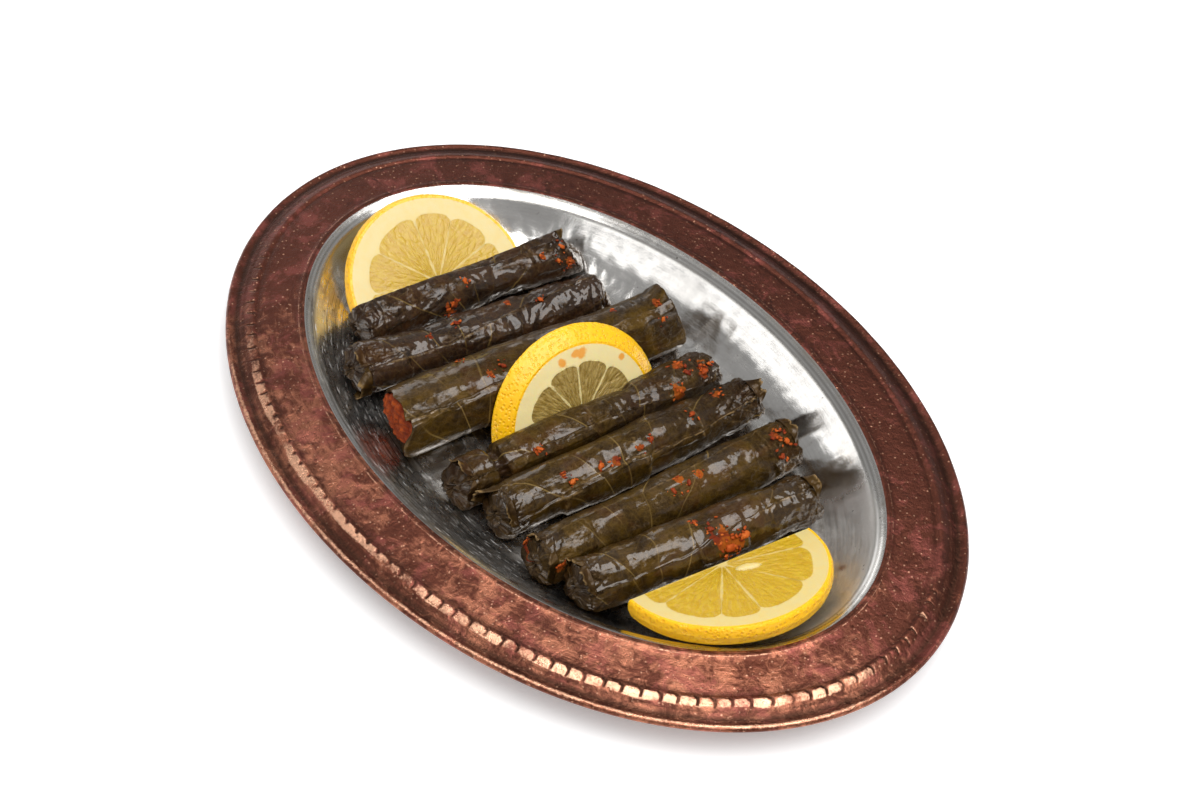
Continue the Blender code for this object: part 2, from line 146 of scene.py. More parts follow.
def nearest_dots(points, seed=0):
    """Distance to the nearest scattered dot, to the next one, and the dot's own number.

    The dots lie in space, or over a plane when the points have two coordinates.
    """
    sides = points.shape[-1]
    base = np.floor(points)
    first = np.full(points.shape[:-1], 9.0)
    second, owner = first.copy(), np.zeros(points.shape[:-1])
    for step in np.ndindex(*(3,) * sides):
        cell = base + (np.array(step) - 1.0)
        key = at(*np.moveaxis(cell, -1, 0))
        dot = np.stack([0.5 + DOT_SCATTER * (cell_value(key, seed + axis) - 0.5)
                        for axis in range(sides)], axis=-1)
        away = np.linalg.norm(cell + dot - points, axis=-1)
        closer = away < first
        second = np.where(closer, first, np.minimum(second, away))
        owner = np.where(closer, cell_value(key, seed + 7), owner)
        first = np.where(closer, away, first)
    return first, second, owner


def smooth_step(value, low, high):
    """An eased rise from 0 at low to 1 at high."""
    share = np.clip((value - low) / (high - low), 0.0, 1.0)
    return share * share * (3.0 - 2.0 * share)


def band(value, start, full, fall, end):
    """From 0 at start up to 1 at full, and from 1 at fall down to 0 at end."""
    return smooth_step(value, start, full) * (1.0 - smooth_step(value, fall, end))


def hill(value, middle, width):
    """A rounded bump of height 1 at the middle."""
    return np.exp(-((value - middle) / width) ** 2)


def angle_gap(angle, degrees):
    """Signed turn from a direction in degrees to an angle in radians."""
    return (angle - math.radians(degrees) + math.pi) % TURN - math.pi


def unit(vectors):
    length = np.linalg.norm(vectors, axis=-1, keepdims=True)
    return vectors / np.maximum(length, 1e-9)


# Meshes


def grid_faces(rows, cols, wrap=False, start=0):
    row, col = np.meshgrid(np.arange(rows - 1), np.arange(cols if wrap else cols - 1),
                           indexing="ij")
    here = start + row * cols + col
    there = start + row * cols + (col + 1) % cols
    return np.stack((here, there, there + cols, here + cols), axis=-1).reshape(-1, 4)


def grid_normals(points, wrap=False):
    """Unit normals of a grid of points, rows by columns."""
    if wrap:
        across = np.roll(points, -1, axis=1) - np.roll(points, 1, axis=1)
    else:
        across = np.gradient(points, axis=1)
    return unit(np.cross(across, np.gradient(points, axis=0)))


def outward_normals(points, middle):
    """Unit normals of a grid that closes on itself, turned away from its middle."""
    normals = grid_normals(points, wrap=True)
    return normals * np.sign(np.einsum("ijk,ijk->", normals, points - middle))


def volume_sign(points, faces):
    """Positive where the faces look outwards."""
    middle = points.mean(axis=0)
    total = 0.0
    for block in faces:
        a, b, c = (points[block[:, side]] - middle for side in range(3))
        total += np.einsum("ij,ij->i", a, np.cross(b, c)).sum()
        if block.shape[1] == 4:
            d = points[block[:, 3]] - middle
            total += np.einsum("ij,ij->i", a, np.cross(c, d)).sum()
    return total


def mesh_piece(name, blocks, faces, finishes, paint=None, zones=None):
    """A named smooth mesh in metres from blocks of points in mm, with values painted on them."""
    points = np.concatenate([np.reshape(block, (-1, 3)) for block in blocks])
    if volume_sign(points, faces) < 0.0:
        faces = [block[:, ::-1] for block in faces]
    mesh = bpy.data.meshes.new(name)
    listed = [face for block in faces for face in block.tolist()]
    mesh.from_pydata((points * MM).tolist(), [], listed)
    mesh.polygons.foreach_set("use_smooth", [True] * len(mesh.polygons))
    for finish in finishes:
        mesh.materials.append(finish)
    if zones:
        mesh.polygons.foreach_set("material_index", np.concatenate(zones).astype(np.int32))
    for title, parts in (paint or {}).items():
        shape, kind, field = -1, "FLOAT", "value"
        if title in PLACES:
            shape, kind, field = (-1, 3), "FLOAT_VECTOR", "vector"
        values = np.concatenate([np.reshape(part, shape) for part in parts])
        layer = mesh.attributes.new(title, kind, "POINT")
        layer.data.foreach_set(field, values.astype(np.float32).ravel())
    mesh.update()
    made = bpy.data.objects.new(name, mesh)
    bpy.context.scene.collection.objects.link(made)
    return made


def place(piece, slot, *nodes):
    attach(piece, "root")
    if nodes:
        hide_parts(*nodes)
    return piece


# Finishes


class Signal:
    """A shader socket that takes part in Python sums."""

    def __init__(self, finish, socket):
        self.finish, self.socket = finish, socket

    def maths(self, operation, *values):
        inputs = dict(enumerate(values))
        return self.finish.node("ShaderNodeMath", {"operation": operation}, inputs)

    def __add__(self, other):
        return self.maths("ADD", self, other)

    def __sub__(self, other):
        return self.maths("SUBTRACT", self, other)

    def __rsub__(self, other):
        return self.maths("SUBTRACT", other, self)

    def __mul__(self, other):
        return self.maths("MULTIPLY", self, other)

    def __abs__(self):
        return self.maths("ABSOLUTE", self)

    __radd__ = __add__
    __rmul__ = __mul__

    def above(self, low, high):
        """From 0 at the low value to 1 at the high one."""
        return self.finish.node("ShaderNodeMapRange", {"interpolation_type": "SMOOTHSTEP"},
                                {"Value": self, "From Min": low, "From Max": high})


class Finish:
    """A procedural material."""

    def __init__(self, name, **fixed):
        self.material = bpy.data.materials.new(name)
        self.material.use_nodes = True
        self.tree = self.material.node_tree
        self.shader = self.tree.nodes["Principled BSDF"]
        for title, value in fixed.items():
            self.shader.inputs[title.replace("_", " ").title().replace("Ior", "IOR")
                               ].default_value = value

    def node(self, kind, settings=None, inputs=None, output=0):
        made = self.tree.nodes.new(kind)
        for title, value in (settings or {}).items():
            setattr(made, title, value)
        for title, value in (inputs or {}).items():
            self.feed(made.inputs[title], value)
        return Signal(self, made.outputs[output])

    def feed(self, socket, value):
        if isinstance(value, Signal):
            self.tree.links.new(value.socket, socket)
        elif socket.type == "RGBA" and len(value) == 3:
            socket.default_value = (*value, 1.0)
        else:
            socket.default_value = value

    def where(self):
        return self.node("ShaderNodeTexCoord", output=3)

    def painted(self, title):
        """A value painted on the points, or a place of three numbers."""
        return self.node("ShaderNodeAttribute", {"attribute_name": title},
                         output=1 if title in PLACES else 2)

    def stretch(self, vector, scale):
        return self.node("ShaderNodeVectorMath", {"operation": "MULTIPLY"}, {0: vector, 1: scale})

    def cloud(self, vector, scale, detail=4.0, roughness=0.55, distortion=0.0):
        return self.node("ShaderNodeTexNoise", None,
                         {"Vector": vector, "Scale": scale, "Detail": detail,
                          "Roughness": roughness, "Distortion": distortion})

    def cells(self, vector, scale, feature="F1"):
        return self.node("ShaderNodeTexVoronoi", {"feature": feature},
                         {"Vector": vector, "Scale": scale})

    def coats(self, colour, *layers_over):
        """Lay colours over a first one, each by its own share."""
        for share, coat in layers_over:
            colour = self.node("ShaderNodeMix", {"data_type": "RGBA"},
                               {0: share, 6: colour, 7: coat}, output=2)
        return colour

    def bump(self, height, distance, strength):
        return self.node("ShaderNodeBump", None, {"Height": height, "Distance": distance,
                                                  "Strength": strength})

    def use(self, **links):
        for title, value in links.items():
            self.feed(self.shader.inputs[title.replace("_", " ").title()], value)
        return self.material


def copper_finish(settings):
    """Old copper: brown patina in clouds and flecks, heavier on the far side as painted shade, and
    bright copper from rubbing, with a painted highlight on the near side.
    """
    finish = Finish("old_copper", metallic=1.0)
    spot, ring = finish.where(), finish.painted("ring")
    broad = finish.cloud(spot, 42.0, 5.0, 0.65, 0.6)
    small = finish.cloud(spot, 230.0, 6.0, 0.7, 0.9)
    fine = finish.cloud(spot, 1100.0, 4.0, 0.65)
    streak = finish.cloud(finish.stretch(ring, (45.0, 800.0, 1.0)), 1.0, 4.0, 0.65)
    # More patina and more dark blots towards the far side: real patina together with painted shade
    # on the side turned away from the front.
    patina_and_painted_shade = finish.painted("patina_and_painted_shade")
    dark = (broad * 0.8 + small + streak * 0.3 + patina_and_painted_shade * 0.30).above(0.88, 1.16)
    rosy = finish.cloud(spot, 95.0, 5.0, 0.7, 0.5).above(0.50, 0.62)
    blots = finish.cloud(spot, 70.0, 6.0, 0.75, 1.0).above(0.56, 0.68)
    bright = finish.painted("rubbed")
    # Bright copper from rubbing on the ridge and bead, stronger on the near side, where it is also
    # a painted highlight.
    worn_and_highlight = (bright * 1.3 + (small - 0.5) * 1.5 + (fine - 0.5) * 1.2).above(0.42, 1.05)
    flecks = finish.cells(spot, 640.0).above(0.26, 0.10) * fine.above(0.44, 0.58)
    hollow = finish.painted("hollow")
    colour = finish.coats(
        settings.copper, (dark, settings.patina), (rosy * 0.5, settings.rosy),
        (blots * (0.40 + patina_and_painted_shade * 0.45), settings.blot), (worn_and_highlight * 0.92, settings.rubbed),
        (flecks * 0.65, settings.rubbed), (hollow * 1.1 + (small - 0.5) * 0.5, settings.grime))
    rough = 0.30 + dark * 0.10 - worn_and_highlight * 0.08 + (fine - 0.5) * 0.35
    scratched = finish.cloud(finish.stretch(ring, (60.0, 2600.0, 1.0)), 1.0, 3.0, 0.7)
    pits = finish.cells(spot, 330.0).above(0.30, 0.05)
    relief = small * 1.1 + fine * 0.50 + scratched * 0.25 - pits * 0.25
    return finish.use(base_color=colour, roughness=rough,
                      normal=finish.bump(relief, 0.00036, 0.9))


# Small marks in the tin
TIN_GRIME = (0.11, 0.095, 0.07)
TIN_SPARK = (0.95, 0.93, 0.90)
TIN_SPECK = (0.05, 0.035, 0.02)
TIN_RUST = (0.22, 0.07, 0.02)


def tin_finish(settings):
    """Hand-wiped tin: shining, streaked along the wall, with scratches, specks and warm stains."""
    finish = Finish("wiped_tin", metallic=1.0)
    spot, ring = finish.where(), finish.painted("ring")
    wall = finish.painted("wall")
    broad = finish.cloud(spot, 45.0, 4.0, 0.6)
    small = finish.cloud(spot, 330.0, 5.0, 0.7)
    fine = finish.cloud(spot, 1500.0, 3.0, 0.65)
    wiped = finish.cloud(finish.stretch(ring, (22.0, 1000.0, 1.0)), 1.0, 5.0, 0.7)
    flecks = finish.cloud(finish.stretch(ring, (140.0, 2200.0, 1.0)), 1.0, 3.0, 0.7)
    flecks = flecks.above(0.59, 0.67) * wall
    polished, brushed = finish.painted("polished"), finish.painted("brushed")
    dull = (broad * 0.8 + small * 0.6 + wiped * 0.5).above(0.86, 1.14) * (1.0 - polished * 0.8)
    specks = finish.cells(spot, 420.0).above(0.16, 0.10) * small.above(0.56, 0.62)
    crease = finish.painted("hollow")
    colour = finish.coats(
        settings.tin, (dull, settings.dull_tin),
        (wiped.above(0.50, 0.62) * wall * 0.70, settings.tarnish), (crease * 0.75, TIN_GRIME),
        (flecks * 0.8, TIN_SPARK), (specks * 0.8, TIN_SPECK),
        (finish.painted("rust") * 0.85, TIN_RUST))
    rough = (0.20 + dull * 0.13 + crease * 0.10 + flecks * 0.42 + (small - 0.5) * 0.16
             + wall * 0.08 - polished * 0.06 + brushed * (0.16 + wiped * 0.34))
    relief = ((small * 0.4 + fine * 0.20) * (1.0 - polished * 0.5)
              + wiped * (0.10 + 0.75 * wall) + flecks * 0.15)
    return finish.use(base_color=colour, roughness=rough,
                      normal=finish.bump(relief, 0.00016, 0.8))


def leaf_finish(name, settings, base, shadow):
    """Oiled vine leaf: dark, glossy and mottled, with pale veins, torn edges and red stains, and
    painted shade where it is crumpled.
    """
    finish = Finish(name, specular_ior_level=0.22, specular_tint=(1.0, 0.66, 0.36, 1.0),
                    coat_roughness=0.075, coat_ior=1.62, coat_tint=(1.0, 0.93, 0.84, 1.0))
    spot, leaf = finish.where(), finish.painted("leaf")
    mottle = finish.cloud(spot, 110.0, 5.0, 0.65, 0.7)
    small = finish.cloud(spot, 520.0, 5.0, 0.68, 0.6)
    fine = finish.cloud(spot, 2200.0, 3.0, 0.6)
    # Crumpled parts and the closed ends take a near-black colour: painted shade in the folds.
    crumpled = finish.painted("rough")
    net = finish.cells(leaf, 0.62, "DISTANCE_TO_EDGE").above(0.10, 0.0)
    crinkle = finish.cloud(finish.stretch(leaf, (0.26, 0.40, 1.0)), 1.0, 5.0, 0.62, 1.1)
    crease = abs(crinkle - 0.5).above(0.045, 0.0)
    brown = finish.cloud(spot, 75.0, 4.0, 0.6, 0.8).above(0.50, 0.68)
    shown = finish.painted("shown")
    veins = abs(finish.painted("vein")).above(0.27, 0.08) * shown
    twigs = abs(finish.painted("twig")).above(0.17, 0.04) * shown * shown
    torn = finish.painted("torn") * (small * 1.6).above(0.55, 0.95)
    red = (finish.painted("stain") * 1.3 + (small - 0.5) * 2.6 + (fine - 0.5) * 1.2
           ).above(0.62, 0.95)
    colour = finish.coats(
        shadow, ((mottle * 1.1 + small * 0.6).above(0.68, 1.06), base),
        (brown * 0.6, settings.brown), (crumpled * 0.72, settings.crumple_shade),
        (net * 0.08, settings.vein), (veins * 0.65 + twigs * 0.18, settings.vein),
        (torn * 0.85, settings.torn),
        (red * 0.9, finish.coats(settings.stain, (mottle.above(0.4, 0.6), settings.sauce))))
    oiled = finish.cloud(finish.stretch(leaf, (0.060, 0.20, 1.0)), 1.0, 6.0, 0.66, 0.9)
    oiled = oiled + (small - 0.5) * 0.35 + finish.painted("gloss") * 0.10
    oil = oiled.above(0.45, 0.60) * (1.0 - red) * (1.0 - crumpled * 0.3)
    rough = 0.28 + mottle * 0.10 + red * 0.20 + (fine - 0.5) * 0.14
    relief = (small * 0.45 + fine * 0.16 - crease * (0.30 + crumpled * 0.8) + net * 0.06
              + veins * 0.30)
    return finish.use(base_color=colour, roughness=rough, coat_weight=oil * 0.85,
                      normal=finish.bump(relief, 0.00028, 0.7))


def filling_finish(settings):
    """Cooked rice in red pepper paste."""
    finish = Finish("pepper_rice", specular_ior_level=0.28, specular_tint=(1.0, 0.7, 0.5, 1.0))
    spot = finish.where()
    grain = finish.painted("grain")
    small = finish.cloud(spot, 650.0, 4.0, 0.6, 0.5)
    fine = finish.cloud(spot, 2600.0, 3.0, 0.6)
    colour = finish.coats(
        settings.deep, ((grain * 0.7 + small * 0.6).above(0.38, 0.95), settings.paste),
        ((grain * 0.5 + fine * 0.7).above(0.74, 0.98) * 0.45, settings.rice))
    rough = 0.40 + small * 0.25
    return finish.use(base_color=colour, roughness=rough,
                      normal=finish.bump(small * 0.6 + fine * 0.3, 0.0005, 0.9))


def lemon_finish(settings):
    """Cut lemon: pored yellow rind, cream pith, and pulp with radial juice sacs."""
    finish = Finish("cut_lemon", subsurface_weight=0.25, subsurface_radius=(1.0, 0.7, 0.2),
                    subsurface_scale=0.0015, coat_weight=0.22, coat_roughness=0.12)
    spot, sac = finish.where(), finish.painted("sac")
    small = finish.cloud(spot, 420.0, 4.0, 0.6)
    fine = finish.cloud(spot, 1800.0, 3.0, 0.6)
    fibres = finish.cloud(finish.stretch(sac, (0.30, 17.0, 1.0)), 1.0, 3.0, 0.6, 0.6)
    threads = finish.cloud(finish.stretch(sac, (0.7, 46.0, 1.0)), 1.0, 3.0, 0.7, 0.3)
    rind, pulp = finish.painted("rind"), finish.painted("pulp")
    # On the middle slice the pulp is painted darker, as painted shade, and the pith painted
    # lighter, as painted light.
    shade = finish.painted("shade")
    pores = finish.cells(spot, 900.0).above(0.50, 0.16) * rind
    spots = (finish.painted("stain") * 1.3 + (small - 0.5) * 1.6).above(0.35, 0.95)
    lit = fibres.above(0.34, 0.66)
    wet = finish.coats(
        settings.pulp_deep, (lit, settings.pulp),
        (threads.above(0.60, 0.78) * 0.14, settings.pith),
        (shade * 0.85, finish.coats(settings.painted_shade_pulp, (lit, settings.painted_shade_lit_pulp))))
    pale = finish.coats(settings.pith, (small.above(0.35, 0.75) * 0.6, settings.pith_warm),
                        (shade * 0.7, settings.painted_light_pith))
    peel = finish.coats(settings.rind, ((small * 0.9).above(0.40, 0.95), settings.rind_deep))
    colour = finish.coats(
        pale, ((pulp + (fine - 0.5) * 0.25).above(0.25, 0.75), wet),
        ((rind + (small - 0.5) * 0.3).above(0.3, 0.7), peel), (pores * 0.30, settings.rind_deep),
        (spots * 0.85, settings.spot))
    rough = 0.42 - pulp * 0.14 + (small - 0.5) * 0.2
    relief = fibres * pulp * 0.8 + threads * pulp * 0.4 - pores * 0.5 + fine * 0.12
    return finish.use(base_color=colour, roughness=rough,
                      normal=finish.bump(relief, 0.00045, 0.8))


def plain_finish(name, colour, rough, grain=80.0, glow=0.0):
    finish = Finish(name, emission_strength=glow, emission_color=(1.0, 1.0, 1.0, 1.0))
    cloud = finish.cloud(finish.where(), grain, 2.0)
    toned = finish.coats(colour, (cloud * 0.04, tuple(0.9 * part for part in colour)))
    return finish.use(base_color=toned, roughness=rough + cloud * 0.05)


# Dish


def half_axes():
    size = bpy.context.scene.dish_sizes
    return size.half_length / MM, size.half_width / MM


def upper_height(inset):
    """Height of the dish's upper side, in mm, with its corners slightly eased."""
    insets, heights = zip(*UPPER_PROFILE)
    offsets = np.linspace(-0.22, 0.22, 5)
    return sum(np.interp(inset + step, insets, heights) for step in offsets) / len(offsets)


def inset_at(x, y):
    """How far inside the outer ellipse each point lies, in mm."""
    long, short = half_axes()
    low, high = np.zeros(np.shape(x)), np.full(np.shape(x), short - 0.1)
    for _ in range(22):
        middle = 0.5 * (low + high)
        inside = (x / (long - middle)) ** 2 + (y / (short - middle)) ** 2 < 1.0
        low, high = np.where(inside, middle, low), np.where(inside, high, middle)
    return low


def arc_table():
    """Distance run along the ridge for each angle of the ellipse, in mm."""
    long, short = half_axes()
    angles = np.linspace(0.0, TURN, 4097)
    speed = np.hypot((long - 7.5) * np.sin(angles), (short - 7.5) * np.cos(angles))
    run = np.concatenate(([0.0], np.cumsum(0.5 * (speed[1:] + speed[:-1])) * TURN / 4096))
    return angles, run


def ring_of(inset, count):
    long, short = half_axes()
    angles = TURN * np.arange(count) / count
    x, y = (long - inset) * np.cos(angles), (short - inset) * np.sin(angles)
    outward = np.stack((np.cos(angles) / (long - inset), np.sin(angles) / (short - inset)), -1)
    return angles, x, y, unit(outward)


def ring_faces(start, count, next_start, next_count):
    """Faces between two closed rings, where one may have twice or half the points."""
    if count == next_count:
        here = np.arange(count)
        there = (here + 1) % count
        return np.stack((start + here, start + there, next_start + there, next_start + here), -1)
    if count > next_count:
        return ring_faces(next_start, next_count, start, count)[:, ::-1]
    here = np.arange(count)
    there = (here + 1) % count
    left, mid, right = 2 * here, 2 * here + 1, (2 * here + 2) % next_count
    first = np.stack((start + here, next_start + mid, next_start + left), -1)
    second = np.stack((start + here, start + there, next_start + mid), -1)
    third = np.stack((start + there, next_start + right, next_start + mid), -1)
    return np.concatenate((first, second, third))


def punch_marks(run, inset, length, size):
    """Depth of the row of punched hooks along the ridge, in mm, and how dark they are."""
    place_along = run / length * size.nicks + 0.16 * noise(at(run * 0.11), 5)
    number = np.floor(place_along)
    key = at(number)
    along = (place_along - number - 0.5) * length / size.nicks + 0.7 * (cell_value(key, 3) - 0.5)
    across = inset - RIDGE_INSET + 0.5 * (cell_value(key, 4) - 0.5)
    depth = 0.6 + 0.6 * cell_value(key, 6)
    bent = along + 0.26 * (across + 0.6) ** 2 - 0.3
    reach = 0.7 + 1.5 * smooth_step(noise(at(run / 60.0), 9), -0.3, 0.3)
    hook = hill(bent, 0.0, 0.34) * smooth_step(across, -reach, 0.5 - reach)
    hook = np.maximum(hook, 1.1 * hill(np.hypot(bent, across - 0.25), 0.0, 0.62))
    cut = depth * hook * (1.0 - smooth_step(across, 0.8, 1.3))
    return -size.nick_depth / MM * cut, np.clip(1.25 * cut, 0.0, 1.0)


# Rings of the dish as insets in mm: those under it, then those over it by their number of points
UNDER_RINGS = (91.9, 75.0, 60.0, 50.0, 44.0, 42.6, 41.6, 40.5, 38.0, 36.2, 33.5, 31.3, 29.0, 27.0,
               25.8, 24.6, 21.0, 16.0, 11.0, 8.6, 6.6, 4.6, 2.4, 0.6, 0.12)
UPPER_RINGS = (
    (720, (0.0, 0.1, 0.3, 0.6, 0.95, 1.3, 1.75, 2.4, 3.2, 4.0, 4.7)),
    (1440, (5.0,)), (2880, np.linspace(5.3, 9.5, 11)), (1440, (9.8,)),
    (720, (10.2, 11.6, 13.4, 15.4, 17.4, 19.2, 20.6, 21.5, 21.9, 22.3, 22.7, 23.1, 23.6, 24.1,
           24.7, 25.3, 25.9, 26.5, 27.1, 27.8)),
    (720, np.linspace(28.6, 42.2, 16)), (720, np.linspace(43.4, 60.0, 12)),
    (360, np.linspace(61.4, 90.6, 22)), (360, (91.9,)))


def dish_rows():
    """Inset, height and number of points of each ring of the dish, from the foot outwards."""
    lower_inset, lower_height = zip(*LOWER_PROFILE)
    rows = [(inset, np.interp(inset, lower_inset, lower_height), 360) for inset in UNDER_RINGS]
    return rows + [(inset, None, count) for count, insets in UPPER_RINGS for inset in insets]


def copper_relief(level, near_side, patchy, run, length, flat, paint):
    """Relief of the rim in mm: uneven metal and the punched ridge, bright from rubbing on its near
    side, where a highlight is painted too.
    """
    size = bpy.context.scene.dish_sizes
    # The near side is brighter from rubbing, together with a painted highlight; on the far side
    # the ridge is set lower.
    wear_and_light_side = smooth_step(near_side, 0.20, 0.66)
    nicked = smooth_step(near_side, -0.15, 0.25)
    lift = 0.10 * layers(flat / 26.0, 3, 11) + 0.07 * layers(flat / 4.4, 2, 12)
    wear_and_highlight, dark = np.zeros(len(level)), np.zeros(len(level))
    if 4.9 < level[0] < 10.5:
        shift, cut = punch_marks(run, level, length, size)
        fade = band(level, 4.9, 5.6, 9.6, 10.4)
        lift = lift + (shift * nicked - 0.30 * (1.0 - wear_and_light_side)) * fade
        ridge = band(level + 0.4 * patchy, 5.7, 6.4, 8.3, 8.9)
        beside = np.clip(4.0 * cut * (1.0 - cut), 0.0, 1.0) * ridge
        wear_and_highlight = (ridge * (0.66 + 0.3 * patchy) - 1.1 * cut) * wear_and_light_side
        wear_and_highlight = wear_and_highlight + 0.8 * beside * nicked * (1.0 - wear_and_light_side)
        dark = 0.85 * cut * fade * nicked
    # The outer bead is brighter, most of all on the near side: rubbing together with a painted
    # highlight.
    wear_and_highlight = wear_and_highlight + (0.1 + 0.6 * wear_and_light_side) * hill(level, 1.0, 0.4 + 0.35 * wear_and_light_side)
    wear_and_highlight = wear_and_highlight + 0.5 * hill(level, 22.3, 0.3) + 0.4 * hill(level, 23.9, 0.35)
    for strength, line, width in ((0.85, 3.4, 1.2), (0.45, 5.2, 0.7), (0.35, 10.0, 0.6),
                                  (0.55, 23.1, 0.35)):
        dark = np.maximum(dark, strength * hill(level, line, width))
    paint.update(rubbed=wear_and_highlight, hollow=dark)
    return lift


def dent(away):
    return 1.0 - np.minimum(away / DENT_REACH, 1.0) ** 2


def tin_relief(level, angle, patchy, run, flat, paint):
    """Relief of the well in mm: hammer dents, deeper on the floor, with dark rings near the lip in
    colour only.
    """
    deep = bpy.context.scene.dish_sizes.hammer_depth / MM
    dents = nearest_dots(np.stack((run / 5.2, level / 4.4), -1), 21)[0]
    floor_dents = nearest_dots(flat[:, :2] / 4.6, 22)[0]
    streaked = smooth_step(-np.sin(angle + 0.26), 0.55, 0.85)
    arcs = hill(dents, 0.50, 0.075) * band(level, 38.0, 41.0, 51.0, 54.0)
    arcs = arcs * smooth_step(patchy, -0.2, 0.2)
    paint.update(
        hollow=sum(0.7 * hill(level, line, 0.25) for line in (24.7, 25.9, 27.1)) + 0.6 * arcs,
        rust=sum(np.exp(-((flat[:, 0] - x) ** 2 + (flat[:, 1] - y) ** 2) / spread ** 2)
                 for x, y, spread in RUST_SPOTS),
        wall=band(level, 24.4, 26.5, 42.0, 47.0) * (0.06 + 0.94 * streaked),
        polished=band(level, 25.0, 26.0, 38.5, 41.0) * (1.0 - streaked),
        brushed=(smooth_step(np.cos(angle - 0.30), 0.84, 0.96)
                 * band(level, 25.0, 28.0, 44.0, 50.0)))
    return (0.35 * (0.10 * layers(flat / 26.0, 3, 11))
            - deep * band(level, 27.5, 31.0, 44.0, 48.0) * dent(dents)
            - 1.4 * deep * smooth_step(level, 43.0, 47.0) * dent(floor_dents)
            + 0.06 * layers(flat / 9.0, 2, 23))


def disc_faces(start, count):
    """Faces that close a ring of points straight across."""
    half = count // 2
    here = np.arange(1, half - 1)
    strip = np.stack((here, here + 1, count - here - 1, count - here), -1)
    return strip + start, np.array([[0, 1, count - 1], [half, half + 1, half - 1]]) + start


def build_dish():
    table = arc_table()
    rows = dish_rows()
    counts = [count for _, _, count in rows]
    starts = [0, *np.cumsum(counts)[:-1].tolist()]
    points, faces, zones = [], [], []
    paint = {title: [] for title in ("ring", "rubbed", "hollow", "rust", "patina_and_painted_shade", "wall",
                                     "polished", "brushed")}
    for inset, under, count in rows:
        angle, x, y, outward = ring_of(inset, count)
        run = np.interp(angle, *table)
        level, flat = np.full(count, inset), at(x, y)
        height = upper_height(level) if under is None else np.full(count, under)
        near_side = -np.sin(angle - NEAR_TURN)
        patchy = noise(at(run / 7.0, level / 5.0), 15)
        # A share that grows towards the far side of the rim: more patina there, partly as painted
        # shade.
        marks = {"ring": at(run * MM, level * MM), "patina_and_painted_shade": smooth_step(-near_side, -0.72, 0.10)}
        if under is None:
            slope = (upper_height(level + 0.3) - upper_height(level - 0.3)) / 0.6
            lean = 1.0 / np.hypot(1.0, slope)
            if inset < COPPER_EDGE:
                lift = copper_relief(level, near_side, patchy, run, table[1][-1], flat, marks)
            else:
                lift = tin_relief(level, angle, patchy, run, flat, marks)
            x = x + outward[:, 0] * slope * lean * lift
            y = y + outward[:, 1] * slope * lean * lift
            height = height + lean * lift
        points.append(at(x, y, height))
        for title, values in paint.items():
            mark = marks.get(title, np.zeros(count))
            values.append(mark if title == "ring" else np.clip(mark, 0.0, 1.0))
    for row, (inset, under, _) in enumerate(rows[:-1]):
        faces.append(ring_faces(starts[row], counts[row], starts[row + 1], counts[row + 1]))
        tin = under is None and inset >= COPPER_EDGE - 0.01
        zones.append(np.full(len(faces[-1]), int(tin)))
    for row in (0, -1):
        for block in disc_faces(starts[row], counts[row]):
            faces.append(block if row else block[:, ::-1])
            zones.append(np.full(len(block), 1 if row else 0))
    colours = bpy.context.scene.dish_colours
    bowl = mesh_piece("copper_dish", points, faces, [copper_finish(colours), tin_finish(colours)],
                      paint, zones)
    return place(bowl, "dish", "dish")


# Leaf rolls


@dataclass
class Roll:
    """One leaf roll: its axis over the floor, its section, folds, veins and stains, in mm."""

    left: tuple
    right: tuple
    half: tuple
    bow: float = 0.0
    flap: tuple = (60, 60)
    lip: float = 0.7
    ends: tuple = (0.14, 0.14)
    square: tuple = (3.0, 3.0)
    slant: tuple = (0.0, 0.0)
    corners: tuple = ()
    pinches: tuple = ()
    sheets: tuple = ()
    flakes: tuple = ()
    rise: tuple = (0.0, 0.0)
    phase: float = 0.0
    seed: int = 1
    wrinkle: float = 0.5
    rough_ends: tuple = (1.0, 1.0)
    stains: tuple = ()
    fan: tuple = (0.5, 7.0, 0.0)
    tone: str = "olive"
    tear: float = 0.5
    # Share of extra crumpling and of painted shade towards the right end
    crumple_shade: float = 0.0
    gloss: float = 0.0

    def __post_init__(self):
        self.left, self.right = np.array((*self.left, 0.0)), np.array((*self.right, 0.0))
        self.half_width, self.half_height = self.half
        self.length = np.linalg.norm(self.right - self.left)
        self.along = (self.right - self.left) / self.length
        self.across = np.array((self.along[1], -self.along[0], 0.0))
        self.sides, self.presses = [None, None], []

    def x_at(self, y):
        share = (y - self.left[1]) / (self.right[1] - self.left[1])
        return self.left[0] + share * (self.right[0] - self.left[0])


